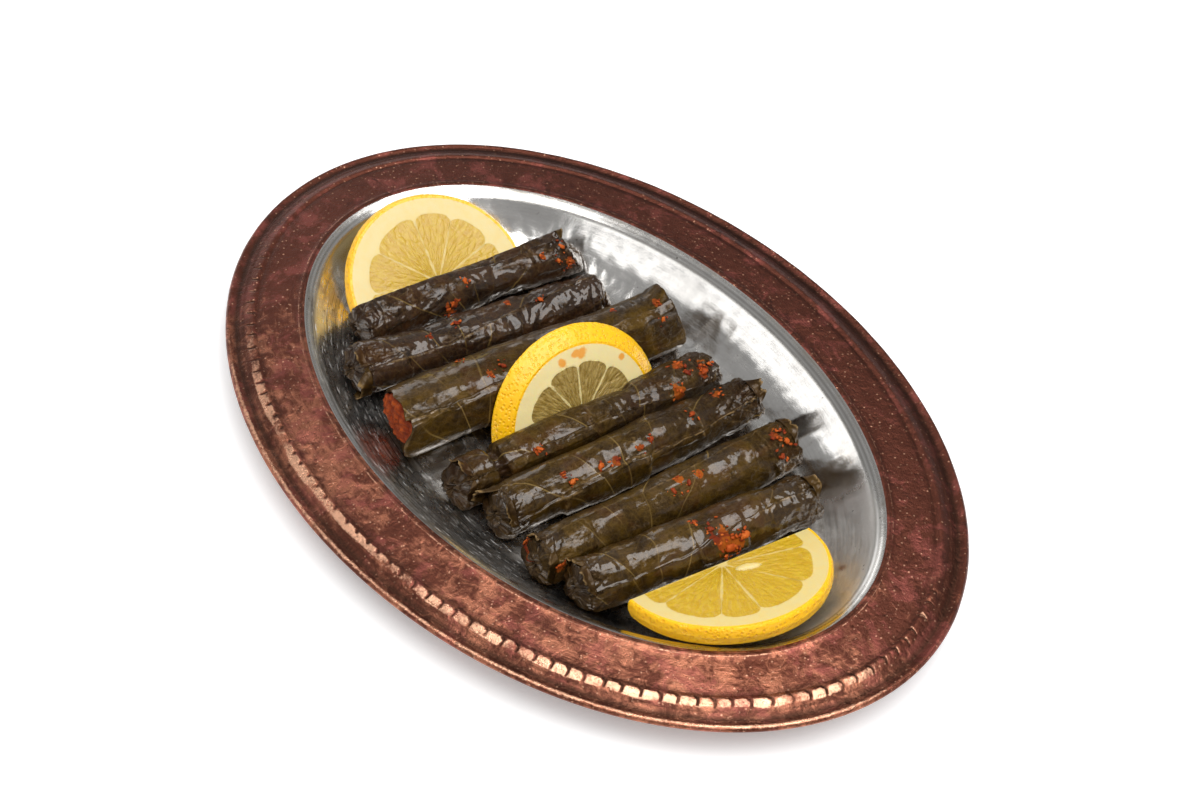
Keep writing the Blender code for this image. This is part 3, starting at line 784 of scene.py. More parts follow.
# A fold is (place along, angle, half length along, half angle, height)
# A corner is (end, angle, height); a flake and a stain are (place along, angle, size)
ROLLS = {
    "dolma_1": Roll((-68.6, -34.0), (-57.4, 42.0), (7.6, 6.9), bow=-0.8, flap=(118, 70), lip=0.9,
                    ends=(0.07, 0.04), slant=(0.0, -3.2), corners=((1, 112, 0.9),),
                    rise=(0.0, 0.8), phase=0.3, seed=11, wrinkle=1.0, tone="dark",
                    fan=(0.52, 8.0, 0.6), rough_ends=(1.4, 1.4), gloss=0.3,
                    pinches=((0.30, 0.06, 0.05), (0.62, 0.05, 0.05)),
                    sheets=((0.88, 70, 0.10, 55, 0.9), (0.17, 60, 0.08, 38, 0.6)),
                    flakes=((0.47, 62, 2.2), (0.94, 60, 2.0), (0.89, 35, 1.8)),
                    stains=((0.393, 21, 2.2), (0.375, 7, 2.4), (0.933, 21, 2.6), (0.83, 53, 1.6))),
    "dolma_2": Roll((-53.0, -47.2), (-37.0, 38.0), (7.9, 6.9), bow=0.5, flap=(35, 100), lip=0.9,
                    ends=(0.07, 0.06), slant=(1.0, -1.0), corners=((0, -8, 1.2),),
                    rise=(2.4, 0.0), phase=1.7, seed=12, wrinkle=1.0, tone="dark",
                    fan=(0.40, 8.0, 0.0), rough_ends=(1.6, 1.2), gloss=0.7,
                    pinches=((0.36, 0.05, 0.05), (0.70, 0.06, 0.06)),
                    sheets=((0.09, 15, 0.10, 40, 1.1), (0.56, 40, 0.07, 30, 0.8)),
                    flakes=((0.41, 95, 2.3), (0.73, 80, 2.2)),
                    stains=((0.30, 80, 1.2), (0.62, 105, 1.4))),
    "dolma_3": Roll((-28.8, -49.4), (-14.8, 47.0), (10.8, 8.6), flap=(48, 84), lip=0.8,
                    ends=(0.04, 0.04), slant=(0.0, -1.5), corners=((1, 104, 3.4), (1, 20, 0.9)),
                    phase=2.9, seed=13, wrinkle=0.14, pinches=((0.24, 0.03, 0.06),),
                    fan=(0.2385, 6.3, 1.57), rough_ends=(0.3, 0.7),
                    sheets=((0.18, 8, 0.15, 34, 1.3), (0.93, 60, 0.06, 60, 0.7)),
                    flakes=((0.37, 78, 2.4), (0.45, 60, 2.2), (0.93, 52, 2.0)),
                    stains=((0.273, 128, 1.4), (0.320, 71, 1.5), (0.942, 87, 1.6),
                            (0.80, 110, 1.4))),
    "dolma_4": Roll((0.9, -49.6), (9.4, 43.2), (7.3, 7.1), bow=0.4, flap=(62, 40), lip=0.8,
                    ends=(0.06, 0.08), square=(3.0, 2.4), slant=(1.6, 0.0), phase=4.1, seed=14,
                    wrinkle=0.30, rough_ends=(1.8, 1.8), fan=(0.63, 7.5, 1.57), crumple_shade=0.8,
                    pinches=((0.145, 0.34, 0.015), (0.66, 0.12, 0.04)),
                    sheets=((0.36, 72, 0.14, 44, 0.8), (0.80, 58, 0.10, 50, 0.7)),
                    flakes=((0.28, 52, 2.5), (0.86, 70, 2.4), (0.92, 58, 2.6)),
                    stains=((0.926, 69, 3.6), (0.855, 100, 3.0), (0.268, 54, 1.8),
                            (0.80, 40, 3.0))),
    "dolma_5": Roll((16.2, -46.6), (25.2, 45.6), (7.7, 7.3), bow=0.3, flap=(20, 55), lip=0.9,
                    ends=(0.08, 0.06), slant=(1.2, -0.8), corners=((0, -20, 1.2), (1, 60, 1.0)),
                    phase=5.2, seed=15, wrinkle=0.20, rough_ends=(2.0, 2.4), fan=(0.45, 7.0, 0.3),
                    tear=1.0, crumple_shade=0.8,
                    pinches=((0.82, 0.06, 0.05),),
                    sheets=((0.36, 12, 0.16, 32, 1.2), (0.62, 62, 0.12, 40, 0.6)),
                    flakes=((0.25, 50, 2.4), (0.36, 56, 2.4), (0.55, 62, 2.2), (0.72, 75, 2.4)),
                    stains=((0.234, 72, 1.6), (0.414, 54, 1.8), (0.504, 57, 1.5),
                            (0.859, 108, 2.0))),
    "dolma_6": Roll((37.2, -48.8), (45.7, 41.2), (8.0, 7.4), flap=(96, 110), lip=0.7,
                    ends=(0.08, 0.04), slant=(1.2, -1.0), corners=((1, 70, 1.0),), phase=0.9,
                    seed=16, wrinkle=0.14, rough_ends=(1.4, 2.0), pinches=((0.08, 0.05, 0.04),),
                    fan=(0.30, 7.0, 0.2), gloss=-0.35,
                    sheets=((0.94, 60, 0.07, 60, 0.8), (0.10, 50, 0.09, 50, 0.7)),
                    flakes=((0.50, 70, 2.3), (0.56, 72, 2.5), (0.90, 40, 2.3), (0.94, 62, 2.4)),
                    stains=((0.537, 88, 1.8), (0.604, 79, 1.8), (0.925, 79, 2.8),
                            (0.016, 161, 3.0), (0.048, 22, 2.4))),
    "dolma_7": Roll((51.4, -46.0), (64.6, 32.4), (8.0, 7.6), bow=0.5, flap=(30, 75), lip=0.8,
                    ends=(0.09, 0.06), slant=(1.0, -1.0), corners=((0, 120, 0.8), (1, 80, 1.0)),
                    rise=(1.2, 0.0), phase=2.2, seed=17, wrinkle=0.24, rough_ends=(1.6, 1.8),
                    fan=(0.30, 6.5, 0.0), gloss=0.7,
                    pinches=((0.30, 0.05, 0.04), (0.84, 0.07, 0.05)),
                    sheets=((0.55, 48, 0.10, 40, 0.9), (0.86, 60, 0.10, 50, 0.8)),
                    flakes=((0.56, 28, 3.6), (0.63, 38, 3.2), (0.52, 70, 2.4)),
                    stains=((0.545, 43, 4.4), (0.60, 30, 3.8), (0.492, 101, 1.8))),
}


@dataclass
class Slice:
    """One half slice of lemon: a point of its face, its tilt, its radii and its segments."""

    centre: tuple
    tilt: float
    heading: float
    front: float
    back: float
    thick: float
    cut: float
    turn: float = 0.0
    pulp: float = 22.0
    walls: tuple = ()
    seed: int = 1
    stains: tuple = ()
    seeds: tuple = ()
    # Share of painted shade on the pulp and painted light on the pith of the cut faces
    painted_light_and_shade: float = 0.0

    def __post_init__(self):
        tilt, heading, turn = (math.radians(angle)
                               for angle in (self.tilt, self.heading, self.turn))
        self.centre = np.array(self.centre)
        self.normal = np.array((math.cos(heading) * math.sin(tilt),
                                math.sin(heading) * math.sin(tilt), math.cos(tilt)))
        level = np.array((-math.sin(heading), math.cos(heading), 0.0))
        steep = np.cross(self.normal, level)
        self.side = level * math.cos(turn) + steep * math.sin(turn)
        self.up = np.cross(self.normal, self.side)

    def spot(self, u, v, out):
        """Points from their places on the face and their height over it."""
        return (self.centre + u[..., None] * self.side + v[..., None] * self.up
                + out[..., None] * self.normal)

    def reach(self, radius, dy):
        """Length of a ray from the middle of the cut to a circle."""
        return -dy * self.cut + np.sqrt((dy * self.cut) ** 2 + radius ** 2 - self.cut ** 2)


# Membranes are angles from the middle of the arc; stains are (across, up, size)
LEMONS = {
    "lemon_slice_a": Slice((-70.5, -0.7, 8.0), 33.2, -11.8, 28.8, 29.3, 4.2, 1.0, turn=4.0,
                           pulp=22.6, walls=(-80, -43, 2, 35, 72), seed=31),
    "lemon_slice_b": Slice((-1.2, 1.2, 3.4), 65.5, -6.2, 24.8, 29.0, 5.0, 0.7, pulp=18.6,
                           walls=(-72, -30, 5, 41, 78), seed=32,
                           stains=((3.6, 20.9, 1.9), (1.0, 21.3, 1.2), (-3.4, 20.2, 1.6),
                                   (16.5, 14.5, 1.2)), painted_light_and_shade=1.0),
    "lemon_slice_c": Slice((70.2, -8.3, 12.2), 17.3, 163.0, 30.6, 29.9, 6.0, -0.5, turn=9.0,
                           pulp=25.6, walls=(-76, -34, 8, 35, 75), seed=33,
                           seeds=((-5.2, 5.3, -75),)),
}
PRESSES = (("dolma_1", "lemon_slice_a", "cut"), ("dolma_3", "lemon_slice_b", "back"),
           ("dolma_4", "lemon_slice_b", "front"), ("dolma_7", "lemon_slice_c", "cut"))
ROLL_ROWS = 216
ROLL_COLUMNS = 148
LIP_COLUMNS = 9
CAP_ROWS = 9
TUCK_ROWS = 6
# Share of its section that is left at the tip of a roll, and where the open roll starts
TIP_SIZE = 0.45
OPEN_START = 0.030
# How much closer together the rows of a roll are at its ends
END_CROWDING = 0.072


def share_out_room():
    """Give the rolls the planes and lines that keep them apart."""
    names = list(ROLLS)
    for first_name, second_name in zip(names, names[1:]):
        first, second = ROLLS[first_name], ROLLS[second_name]

        def between(y, first=first, second=second):
            weight = first.half_width / (first.half_width + second.half_width)
            return first.x_at(y) + weight * (second.x_at(y) - first.x_at(y))

        first.sides[1] = between
        second.sides[0] = between
    for roll_name, slice_name, face in PRESSES:
        lemon = LEMONS[slice_name]
        spot, outward = lemon.centre + lemon.up * lemon.cut, lemon.up
        if face == "front":
            spot, outward = lemon.centre, -lemon.normal
        elif face == "back":
            spot, outward = lemon.centre - lemon.normal * lemon.thick, lemon.normal
        ROLLS[roll_name].presses.append((spot, outward))


def plateau(value, half, slope):
    """1 within half of zero, falling off over a share of that width."""
    return smooth_step((half - np.abs(value)) / (slope * half) + 0.5, 0.0, 1.0)


def end_size(roll, share):
    """Size of the section, which closes in towards both ends."""
    size = np.ones_like(share)
    for distance, span, power in zip((share, 1.0 - share), roll.ends, roll.square):
        gone = np.clip(1.0 - distance / span, 0.0, 1.0)
        size = np.minimum(size, (1.0 - gone ** power) ** (1.0 / power))
    return TIP_SIZE + (1.0 - TIP_SIZE) * size


def flap_angle(roll, share):
    start, finish = roll.flap
    wave = 5.0 * np.sin(8.0 * share + roll.phase)
    torn = 2.2 * noise(at(share * 26.0), roll.seed + 2)
    return np.radians(start + share * (finish - start) + wave + torn)


def section_scale(roll, share, angle):
    phase = roll.phase
    factor = 1.0 + 0.035 * np.sin(7.0 * share + 2.0 * phase)
    factor = factor + 0.022 * np.sin(15.0 * share + angle + 3.0 * phase)
    factor = factor + 0.020 * np.sin(3.0 * angle + 9.0 * share + phase)
    for spot, depth, width in roll.pinches:
        factor = factor - depth * hill(share, spot, width)
    return factor


def fold_heights(roll, share, angle):
    """Height of the wrap and of the folded sheets, and how near each point is to an edge."""
    turn = ((angle - flap_angle(roll, share)) % TURN) / TURN
    height = roll.lip * turn
    shreds = layers(at(share * 9.0), 2, roll.seed + 14)
    edge = roll.tear * smooth_step(turn, 0.982, 0.992) * smooth_step(shreds, -0.1, 0.3)
    ragged = layers(at(share * 34.0, angle * 3.2), 3, roll.seed + 4)
    for spot, around, half_length, half_angle, lift in roll.sheets:
        body = (plateau(share - spot + 0.012 * ragged, half_length, 0.16)
                * plateau(angle_gap(angle, around) + 0.10 * ragged, math.radians(half_angle),
                          0.224))
        height = height + lift * body
        edge = edge + 0.55 * roll.tear * np.clip(4.0 * body * (1.0 - body), 0, 1) * (body > 0.5)
    return height, np.clip(edge, 0.0, 1.0)


def roll_base(roll, share, angle, shrink=0.0):
    """Points of the wrapped leaf before its wrinkles."""
    size, scale = end_size(roll, share), section_scale(roll, share, angle)
    folds, edge = fold_heights(roll, share, angle)
    extra = folds * np.minimum(1.0, 2.0 * (size - TIP_SIZE))
    for end, around, lift in roll.corners:
        near = hill(share, end, 0.05) * hill(angle_gap(angle, around), 0.0, math.radians(32))
        extra = extra + lift * near * size
    wide = roll.half_width * scale * size + extra - shrink
    tall = roll.half_height * scale * size + extra - shrink
    middle = (roll.left + share[..., None] * (roll.right - roll.left)
              + roll.across * (roll.bow * np.sin(math.pi * share))[..., None])
    middle[..., 2] = (FLOOR_HEIGHT + DISH_GAP + roll.half_height
                      + roll.rise[0] * hill(share, 0.0, 0.22)
                      + roll.rise[1] * hill(share, 1.0, 0.22))
    points = middle + roll.across * (wide * np.cos(angle))[..., None]
    points[..., 2] += tall * np.sin(angle)
    tilt = roll.slant[0] * hill(share, 0.0, 0.16) + roll.slant[1] * hill(share, 1.0, 0.16)
    return points + roll.along * (tilt * np.sin(angle))[..., None], edge, size


def settle(roll, points, shrink=0.0):
    """Flatten a soft roll against the dish and against its neighbours."""
    x, y = points[..., 0], points[..., 1]
    before, after = roll.sides
    if before is not None:
        x = np.maximum(x, before(y) + 0.5 * SIDE_GAP + shrink)
    if after is not None:
        x = np.minimum(x, after(y) - 0.5 * SIDE_GAP - shrink)
    points = np.stack((x, y, points[..., 2]), -1)
    for spot, outward in roll.presses:
        depth = np.maximum((points - spot) @ outward + SIDE_GAP + shrink, 0.0)
        points = points - outward * depth[..., None]
    ground = upper_height(inset_at(points[..., 0], points[..., 1])) + DISH_GAP + shrink
    points[..., 2] = np.maximum(points[..., 2], ground)
    return points


def vein_field(roll, share, angle):
    """Signed distance in mm from the main veins and from the side veins, and what shows."""
    root, count, shift = roll.fan
    u = (share - root) * roll.length
    v = (angle_gap(angle, 90.0) + math.pi / 2) * roll.half_height + 13.0
    place_on = at(share * roll.length / 12.0, angle * roll.half_height / 12.0)
    bend = noise(place_on, roll.seed + 12)
    reach = np.hypot(u, v)
    phase = count * np.arctan2(u, v) + shift + 0.55 * bend
    main = reach * np.sin(phase) / count
    near = reach * np.abs(phase - math.pi * np.round(phase / math.pi)) / count
    twig = np.sin(TURN * (reach + 0.9 * near + 1.5 * bend) / 10.0) * 10.0 / TURN
    shown = 0.55 + 1.2 * layers(place_on * 1.4 + 5.0, 2, roll.seed + 13)
    return main, twig, np.clip(shown, 0.10, 1.0)


def leaf_relief(roll, share, angle, points):
    """Wrinkles, lumps of rice, pleated ends and veins in mm, with the values painted on them."""
    along, around = share * roll.length, angle * roll.half_height
    leaf = at(along, around)
    deep = bpy.context.scene.leaf_sizes.wrinkle_depth / MM
    lumps = layers(points / 10.0, 2, roll.seed + 5)
    knobs = layers(points / 5.2, 2, roll.seed + 15)
    warp = 2.6 * at(*(layers(points / 6.0, 2, roll.seed + step) for step in (6, 16)))
    turned = at(0.82 * along + 0.57 * around, 0.82 * around - 0.57 * along)
    crumple, cross, pleats = (
        np.maximum(layers(shape / stretch, count, roll.seed + step, ridged=True), 0.0)
        for shape, stretch, count, step in (
            (turned + warp, (6.5, 3.2, 1.0), 4, 7), (leaf - warp, (2.8, 8.0, 1.0), 3, 8),
            (leaf + 0.5 * warp, (9.0, 1.9, 1.0), 3, 10)))
    fine = layers(leaf / 1.3, 3, roll.seed + 9)
    left, right = roll.rough_ends
    tips = left * hill(share, 0.0, 0.075) + right * hill(share, 1.0, 0.12)
    # Towards the right end of some rolls the leaf is crumpled more and painted darker, as painted
    # shade.
    crumple_shade = roll.crumple_shade * smooth_step(share, 0.42, 0.72)
    wavy = 0.75 + 0.5 * layers(points / 14.0, 2, roll.seed + 18)
    strength = roll.wrinkle * wavy + tips + 0.6 * crumple_shade
    strength = strength + sum(6.4 * depth * hill(share, spot, 1.6 * width)
                              for spot, depth, width in roll.pinches)
    creases = 0.62 * crumple ** 1.4 + 0.36 * cross ** 1.4
    main, twig, shown = vein_field(roll, share, angle)
    veins = hill(main, 0.0, 0.32) * shown
    height = (0.46 * lumps + 0.30 * knobs - deep * strength * creases
              - 0.40 * deep * tips * pleats + deep * (0.05 + 0.10 * strength) * fine
              + 0.09 * veins)
    return height, {"vein": main, "twig": twig, "shown": shown,
                    "rough": np.clip(0.42 * (strength - 0.35) + 0.5 * crumple_shade, 0.0, 1.0)}


def stain_paint(roll, share, angle):
    """Where red sauce has soaked into the leaf."""
    total = np.zeros(np.shape(share))
    ragged = layers(at(share * 60.0, angle * 5.0), 3, roll.seed + 3)
    for spot, around, size in roll.stains:
        away = np.hypot((share - spot) * roll.length,
                        angle_gap(angle, around) * roll.half_height)
        total = np.maximum(total, smooth_step(1.0 + 0.8 * ragged - away / size, 0.0, 0.7))
    return total


def cap_rows(rim, outward, chance):
    """Gathered leaf that closes one end: rings from the rim to the middle."""
    middle = rim.mean(axis=0)
    around = TURN * np.arange(len(rim)) / len(rim)
    pleats = sum(chance.uniform(0.4, 1.0) * np.sin(k * around + chance.uniform(0, TURN))
                 for k in (3, 5, 8, 13))
    rows = []
    for step in range(1, CAP_ROWS + 1):
        width = 1.0 - step / (CAP_ROWS + 0.35)
        swell = 0.9 * math.sin(math.pi * min(1.0, 1.25 * (1.0 - width))) - 1.3 * (1 - width) ** 3
        fold = 0.30 * pleats * math.sin(math.pi * width)
        twist = 0.5 * (1.0 - width)
        turned = middle + (rim - middle) * width * math.cos(twist)
        turned = turned + np.cross(outward, rim - middle) * width * math.sin(twist)
        rows.append(turned + outward * (swell + fold)[:, None])
    return rows


def tucked_rows(roll, rim, angle, outward):
    """Leaf that turns in at the open end and lines the tube."""
    share = np.linspace(0.032, 0.16, TUCK_ROWS)[:, None] + 0 * angle
    inner, _, _ = roll_base(roll, share, angle + 0 * share, LEAF_THICK)
    rows = [settle(roll, line, LEAF_THICK) for line in inner]
    return [0.5 * (rim + rows[0]) + outward * 0.25, *rows]


def roll_places(count):
    """Places along a roll, closer together at its ends."""
    wave = np.linspace(0.0, 1.0, count)
    return wave - END_CROWDING * np.sin(TURN * wave)


# What is painted on the closed ends of a roll; their full crumple share paints them in the
# near-black colour, as painted shade.
CAP_PAINT = {"vein": 9.0, "twig": 9.0, "shown": 0.0, "torn": 0.15, "rough": 1.0, "gloss": 0.0}


def build_roll(name, finishes):
    roll = ROLLS[name]
    chance = np.random.default_rng(roll.seed + 50)
    opened = name == "dolma_3"
    places = roll_places(ROLL_ROWS)
    if opened:
        places = OPEN_START + places * (1.0 - OPEN_START)
    turns = np.concatenate((np.linspace(0.0, 0.966, ROLL_COLUMNS - LIP_COLUMNS),
                            np.linspace(0.972, 0.9965, LIP_COLUMNS)))
    share = np.repeat(places[:, None], ROLL_COLUMNS, axis=1)
    angle = flap_angle(roll, share) + TURN * turns[None, :]
    base, edge, size = roll_base(roll, share, angle)
    normals = outward_normals(base, base.mean(axis=1, keepdims=True))
    lift, painted_on = leaf_relief(roll, share, angle, base)
    tips = 0.5 + 0.5 * np.clip((size - TIP_SIZE) / 0.3, 0.0, 1.0)
    points = base + normals * (lift * tips)[..., None]
    if opened:
        torn = 1.6 * layers(at(angle[0] * 2.2), 3, 77)
        torn = torn - 5.6 * hill(angle_gap(angle[0], -8.0), 0.0, math.radians(44))
        points = points + roll.along * (hill(share, OPEN_START, 0.05) * torn)[..., None]
    points = settle(roll, points)
    stain = stain_paint(roll, share, angle)
    leaf = at(share * roll.length, angle * roll.half_height, roll.seed)
    blocks, faces = [points], [grid_faces(ROLL_ROWS, ROLL_COLUMNS, wrap=True)]
    paint = {title: [values] for title, values in painted_on.items()}
    paint.update(torn=[edge], stain=[stain], leaf=[leaf], gloss=[0 * edge + roll.gloss])
    total = ROLL_ROWS * ROLL_COLUMNS
    for row, outward in ((0, -roll.along), (ROLL_ROWS - 1, roll.along)):
        if opened and row == 0:
            cap = tucked_rows(roll, points[row], angle[:1], outward)
        else:
            cap = [settle(roll, line) for line in cap_rows(points[row], outward, chance)]
        strip, tip = np.array(cap), cap[-1].mean(axis=0)
        count = len(cap)
        blocks += [strip, tip]
        for title, value in CAP_PAINT.items():
            paint[title].append(np.full(count * ROLL_COLUMNS + 1, value))
        paint["stain"] += [np.tile(stain[row], count), np.zeros(1)]
        depth = np.linalg.norm(strip - tip, axis=-1)
        paint["leaf"] += [at(depth + 100.0, leaf[row, :, 1], roll.seed), np.zeros(3)]
        rim = np.arange(ROLL_COLUMNS) + row * ROLL_COLUMNS
        here = np.arange(ROLL_COLUMNS) + total
        last = here + (count - 1) * ROLL_COLUMNS
        middle = total + count * ROLL_COLUMNS
        for block in (np.stack((rim, np.roll(rim, -1), np.roll(here, -1), here), -1),
                      grid_faces(count, ROLL_COLUMNS, wrap=True, start=total),
                      at(last, np.roll(last, -1), middle)):
            faces.append(block if row else block[:, ::-1])
        total = middle + 1
    made = mesh_piece(f"leaf_roll_{name[-1]}", blocks, faces, [finishes[roll.tone]], paint)
    return place(made, "leaf_dark" if roll.tone == "dark" else "leaf_olive", name)


# Loose edges of leaf: roll, end, middle angle, half angle, length and flare in mm
LOOSE_EDGES = (
    ("dolma_1", 1, 112, 34, 2.2, 0.4), ("dolma_2", 0, -5, 50, 4.2, 0.2),
    ("dolma_2", 0, 75, 30, 2.6, 0.9), ("dolma_4", 0, 100, 44, 2.6, 1.3),
    ("dolma_4", 0, 20, 30, 2.8, 0.8), ("dolma_5", 0, 158, 40, 5.0, 0.3),
    ("dolma_5", 0, 40, 44, 2.6, 0.7), ("dolma_5", 1, 72, 40, 3.2, 1.2),
    ("dolma_6", 0, 24, 48, 3.0, 0.6), ("dolma_6", 0, 120, 36, 2.4, 0.8),
    ("dolma_6", 1, 84, 36, 2.2, 0.4), ("dolma_7", 0, 62, 40, 2.8, 1.0),
    ("dolma_7", 0, 128, 34, 2.6, 0.5), ("dolma_7", 1, 80, 36, 2.6, 0.8))


def build_loose_edges(finish):
    """Torn ends of leaf that stand off the rolls."""
    rows, columns = 12, 22
    single = rows * columns
    ahead = np.linspace(0.0, 1.0, rows)[:, None]
    across = np.linspace(-1.0, 1.0, columns)[None, :]
    mark = smooth_step(ahead + 0 * across, 0.75, 0.95)
    border = np.concatenate((np.arange(columns), np.arange(2, rows + 1) * columns - 1,
                             single - 2 - np.arange(columns - 1),
                             np.arange(rows - 2, 0, -1) * columns))
    blocks, faces = [], []
    for number, (name, end, around, half, long, flare) in enumerate(LOOSE_EDGES):
        roll, total = ROLLS[name], 2 * single * number
        angle = np.radians(around + half * across * (1.0 - 0.55 * ahead ** 1.5))
        start = 0.035 if end == 0 else 0.965
        base, _, _ = roll_base(roll, start + 0 * angle, angle)
        centre = roll.left + start * (roll.right - roll.left)
        radial = base - (centre + (0.0, 0.0, FLOOR_HEIGHT + roll.half_height))
        radial = unit(radial - (radial @ roll.along)[..., None] * roll.along)
        key = at(across * 2.4 + 0 * ahead)
        ragged = 1.0 + 0.45 * layers(key + number * 3.7, 3, 60 + number)
        reach = (long * ahead * ragged)[..., None]
        lift = flare * ahead ** 2 - 0.9 * ahead * (1.0 - ahead) + 0.25
        curl = 0.45 * np.sin(4.0 * across + number) * ahead
        tucked = 0.8 * smooth_step(np.abs(across), 0.6, 1.0)
        sheet = (base + roll.along * (1.0 if end else -1.0) * reach
                 + radial * (lift + curl - tucked)[..., None])
        blocks += [settle(roll, sheet), settle(roll, sheet - radial * 0.32)]
        rim = border + total
        after = np.roll(rim, -1)
        faces += [grid_faces(rows, columns, start=total),
                  grid_faces(rows, columns, start=total + single)[:, ::-1],
                  np.stack((after, rim, rim + single, after + single), -1)]
    # The loose edges take half the near-black crumple colour, as painted shade.
    made = mesh_piece("loose_leaf_edges", blocks, faces, [finish],
                      {"torn": [mark] * len(blocks), "rough": [0.5 + 0 * mark] * len(blocks)})
    return place(made, "leaf_olive")


# Filling and pepper


def build_filling(finish):
    """Pepper rice that runs through the thick roll and bulges out of its open end."""
    roll, columns, front_rows = ROLLS["dolma_3"], 120, 26
    places = np.concatenate((np.full(front_rows, OPEN_START), np.linspace(0.032, 0.14, 20),
                             np.linspace(0.16, 0.83, 14), (0.83,)))
    widths = np.concatenate((np.linspace(0.02, 0.99, front_rows), np.ones(34), (0.02,)))
    share = np.repeat(places[:, None], columns, axis=1)
    angle = np.repeat((TURN * np.arange(columns) / columns)[None, :], len(places), axis=0)
    base, _, _ = roll_base(roll, share, angle, FILLING_INSET)
    middle = base.mean(axis=1, keepdims=True)
    points = middle + (base - middle) * widths[:, None, None]
    dome = np.where(np.arange(len(places)) < front_rows, np.sqrt(1.0 - widths ** 2.6), 0.0)
    points = points - roll.along * (dome * 2.0)[:, None, None]
    near, _, owner = nearest_dots(points / (2.6, 2.6, 2.0), 41)
    grain = np.clip(1.0 - near / 0.75, 0.0, 1.0)
    bumps = 1.3 * grain ** 0.7 - 0.65 + 0.75 * layers(points / 1.5, 3, 43)
    bumps = bumps * hill(share, 0.0, 0.10)
    normals = outward_normals(points, points.mean(axis=(0, 1)))
    points = settle(roll, points + normals * bumps[..., None], FILLING_ROOM)
    made = mesh_piece("pepper_filling", [points], [grid_faces(len(places), columns, wrap=True)],
                      [finish], {"grain": [np.clip(0.35 + 0.65 * grain * owner, 0, 1)]})
    return place(made, "filling", "filling_3")


# Rows and columns of a lump of pepper
LUMP_GRID = (8, 11)


def lump(centre, ahead, beside, out, long, wide, tall, seed):
    """Points of one ragged lump of pepper."""
    rows, columns = LUMP_GRID
    tip, turn = np.meshgrid(np.pi * (np.arange(rows) + 0.5) / rows,
                            TURN * np.arange(columns) / columns, indexing="ij")
    shape = at(np.cos(tip), np.sin(tip) * np.cos(turn), np.sin(tip) * np.sin(turn))
    shape = shape * (1.0 + 0.85 * layers(shape * 2.4 + seed, 3, seed % 97))[..., None]
    return (centre + ahead * (long * shape[..., :1]) + beside * (wide * shape[..., 1:2])
            + out * (tall * shape[..., 2:3]))


def build_pepper(finish):
    """Bits of cooked red pepper and seed that stick to the leaves."""
    blocks, quads, fans, grain = [], [], [], []
    rows, columns = LUMP_GRID
    for roll in ROLLS.values():
        chance = np.random.default_rng(roll.seed + 90)
        bits = []
        for spot, around, size in roll.flakes:
            bits.append((spot, around, size))
            for _ in range(5):
                bits.append((spot + chance.uniform(-0.022, 0.022),
                             around + chance.uniform(-15, 15), size * chance.uniform(0.2, 0.55)))
        for spot, around, size in roll.stains:
            for _ in range(int(4 + 2.2 * size)):
                bits.append((spot + chance.normal(0, 0.0052 * size),
                             around + chance.normal(0, 3.4 * size),
                             chance.uniform(0.30, 0.75) * min(2.2, size)))
        for number, (spot, around, size) in enumerate(bits):
            spot = min(max(spot, 0.01), 0.985)
            points, _, _ = roll_base(roll, np.array((spot, spot + 0.01, spot)),
                                     np.radians(np.array((around, around, around + 4.0))))
            points = settle(roll, points)
            ahead, beside = unit(points[1] - points[0]), unit(points[2] - points[0])
            out = unit(np.cross(beside, ahead))
            if out[2] < 0.0:
                out = -out
            spin = chance.uniform(0, TURN)
            first = ahead * math.cos(spin) + beside * math.sin(spin)
            total = len(blocks) * rows * columns
            blocks.append(lump(points[0] + out * 0.04 * size, first, np.cross(out, first), out,
                               0.44 * size, 0.30 * size, 0.20 * size, roll.seed * 100 + number))
            quads.append(grid_faces(rows, columns, wrap=True, start=total))
            ring = np.arange(columns)
            for cap in (total + ring[::-1], total + (rows - 1) * columns + ring):
                fans.append(at(cap[0], cap[1:-1], cap[2:]))
            grain.append(np.full(rows * columns, chance.uniform(0.2, 1.0)))
    made = mesh_piece("pepper_bits", blocks, quads + fans, [finish], {"grain": grain})
    return place(made, "filling")


# Lemon


def pulp_paint(lemon, u, v, radius):
    """How much each point of a cut face is pulp, and its place along its juice sacs."""
    rho, psi = np.hypot(u, v), np.arctan2(u, v)
    walls = [math.radians(angle) for angle in (-100, *lemon.walls, 100)]
    pulp, local = np.zeros(np.shape(u)), np.zeros(np.shape(u))
    for number, (low, high) in enumerate(zip(walls, walls[1:])):
        middle, half = 0.5 * (low + high), 0.5 * (high - low)
        inside = (psi >= low) & (psi < high)
        gap = np.minimum(*(np.abs(rho * np.sin(np.clip(turn, 0, 1.5)))
                           for turn in (psi - low, high - psi)))
        side = np.clip(np.abs(psi - middle) / half, 0.0, 1.0)
        wobble = 0.5 * noise(at(psi * 3.0, rho * 0.15), lemon.seed + number)
        corner = smooth_step(radius * (1.0 - 0.085 * side ** 5) + wobble - rho, 0.0, 0.7)
        wall = 0.06 + 0.12 * rho / radius
        gap = gap + 0.22 * noise(at(rho * 0.5, psi * 2.0), lemon.seed + 3)
        flesh = corner * smooth_step(gap, 0.4 * wall, wall + 0.32) * smooth_step(rho, 1.0, 2.0)
        flesh = np.maximum(flesh, 0.42 * corner * smooth_step(rho, 0.6, 1.6))
        pulp = np.where(inside, flesh, pulp)
        local = np.where(inside, (psi - middle) + number * 7.0, local)
    return pulp, at(rho, local)


def sac_relief(lemon, sac, pulp):
    """Relief of the juice sacs: long drops that point at the middle of the slice."""
    near, after, owner = nearest_dots(at(sac[..., 0] * 0.22, sac[..., 1] * 9.0), lemon.seed + 5)
    seam = smooth_step(after - near, 0.0, 0.25)
    return pulp * (-0.30 + 0.16 * seam + 0.10 * (owner - 0.5)) + (1.0 - pulp) * 0.03


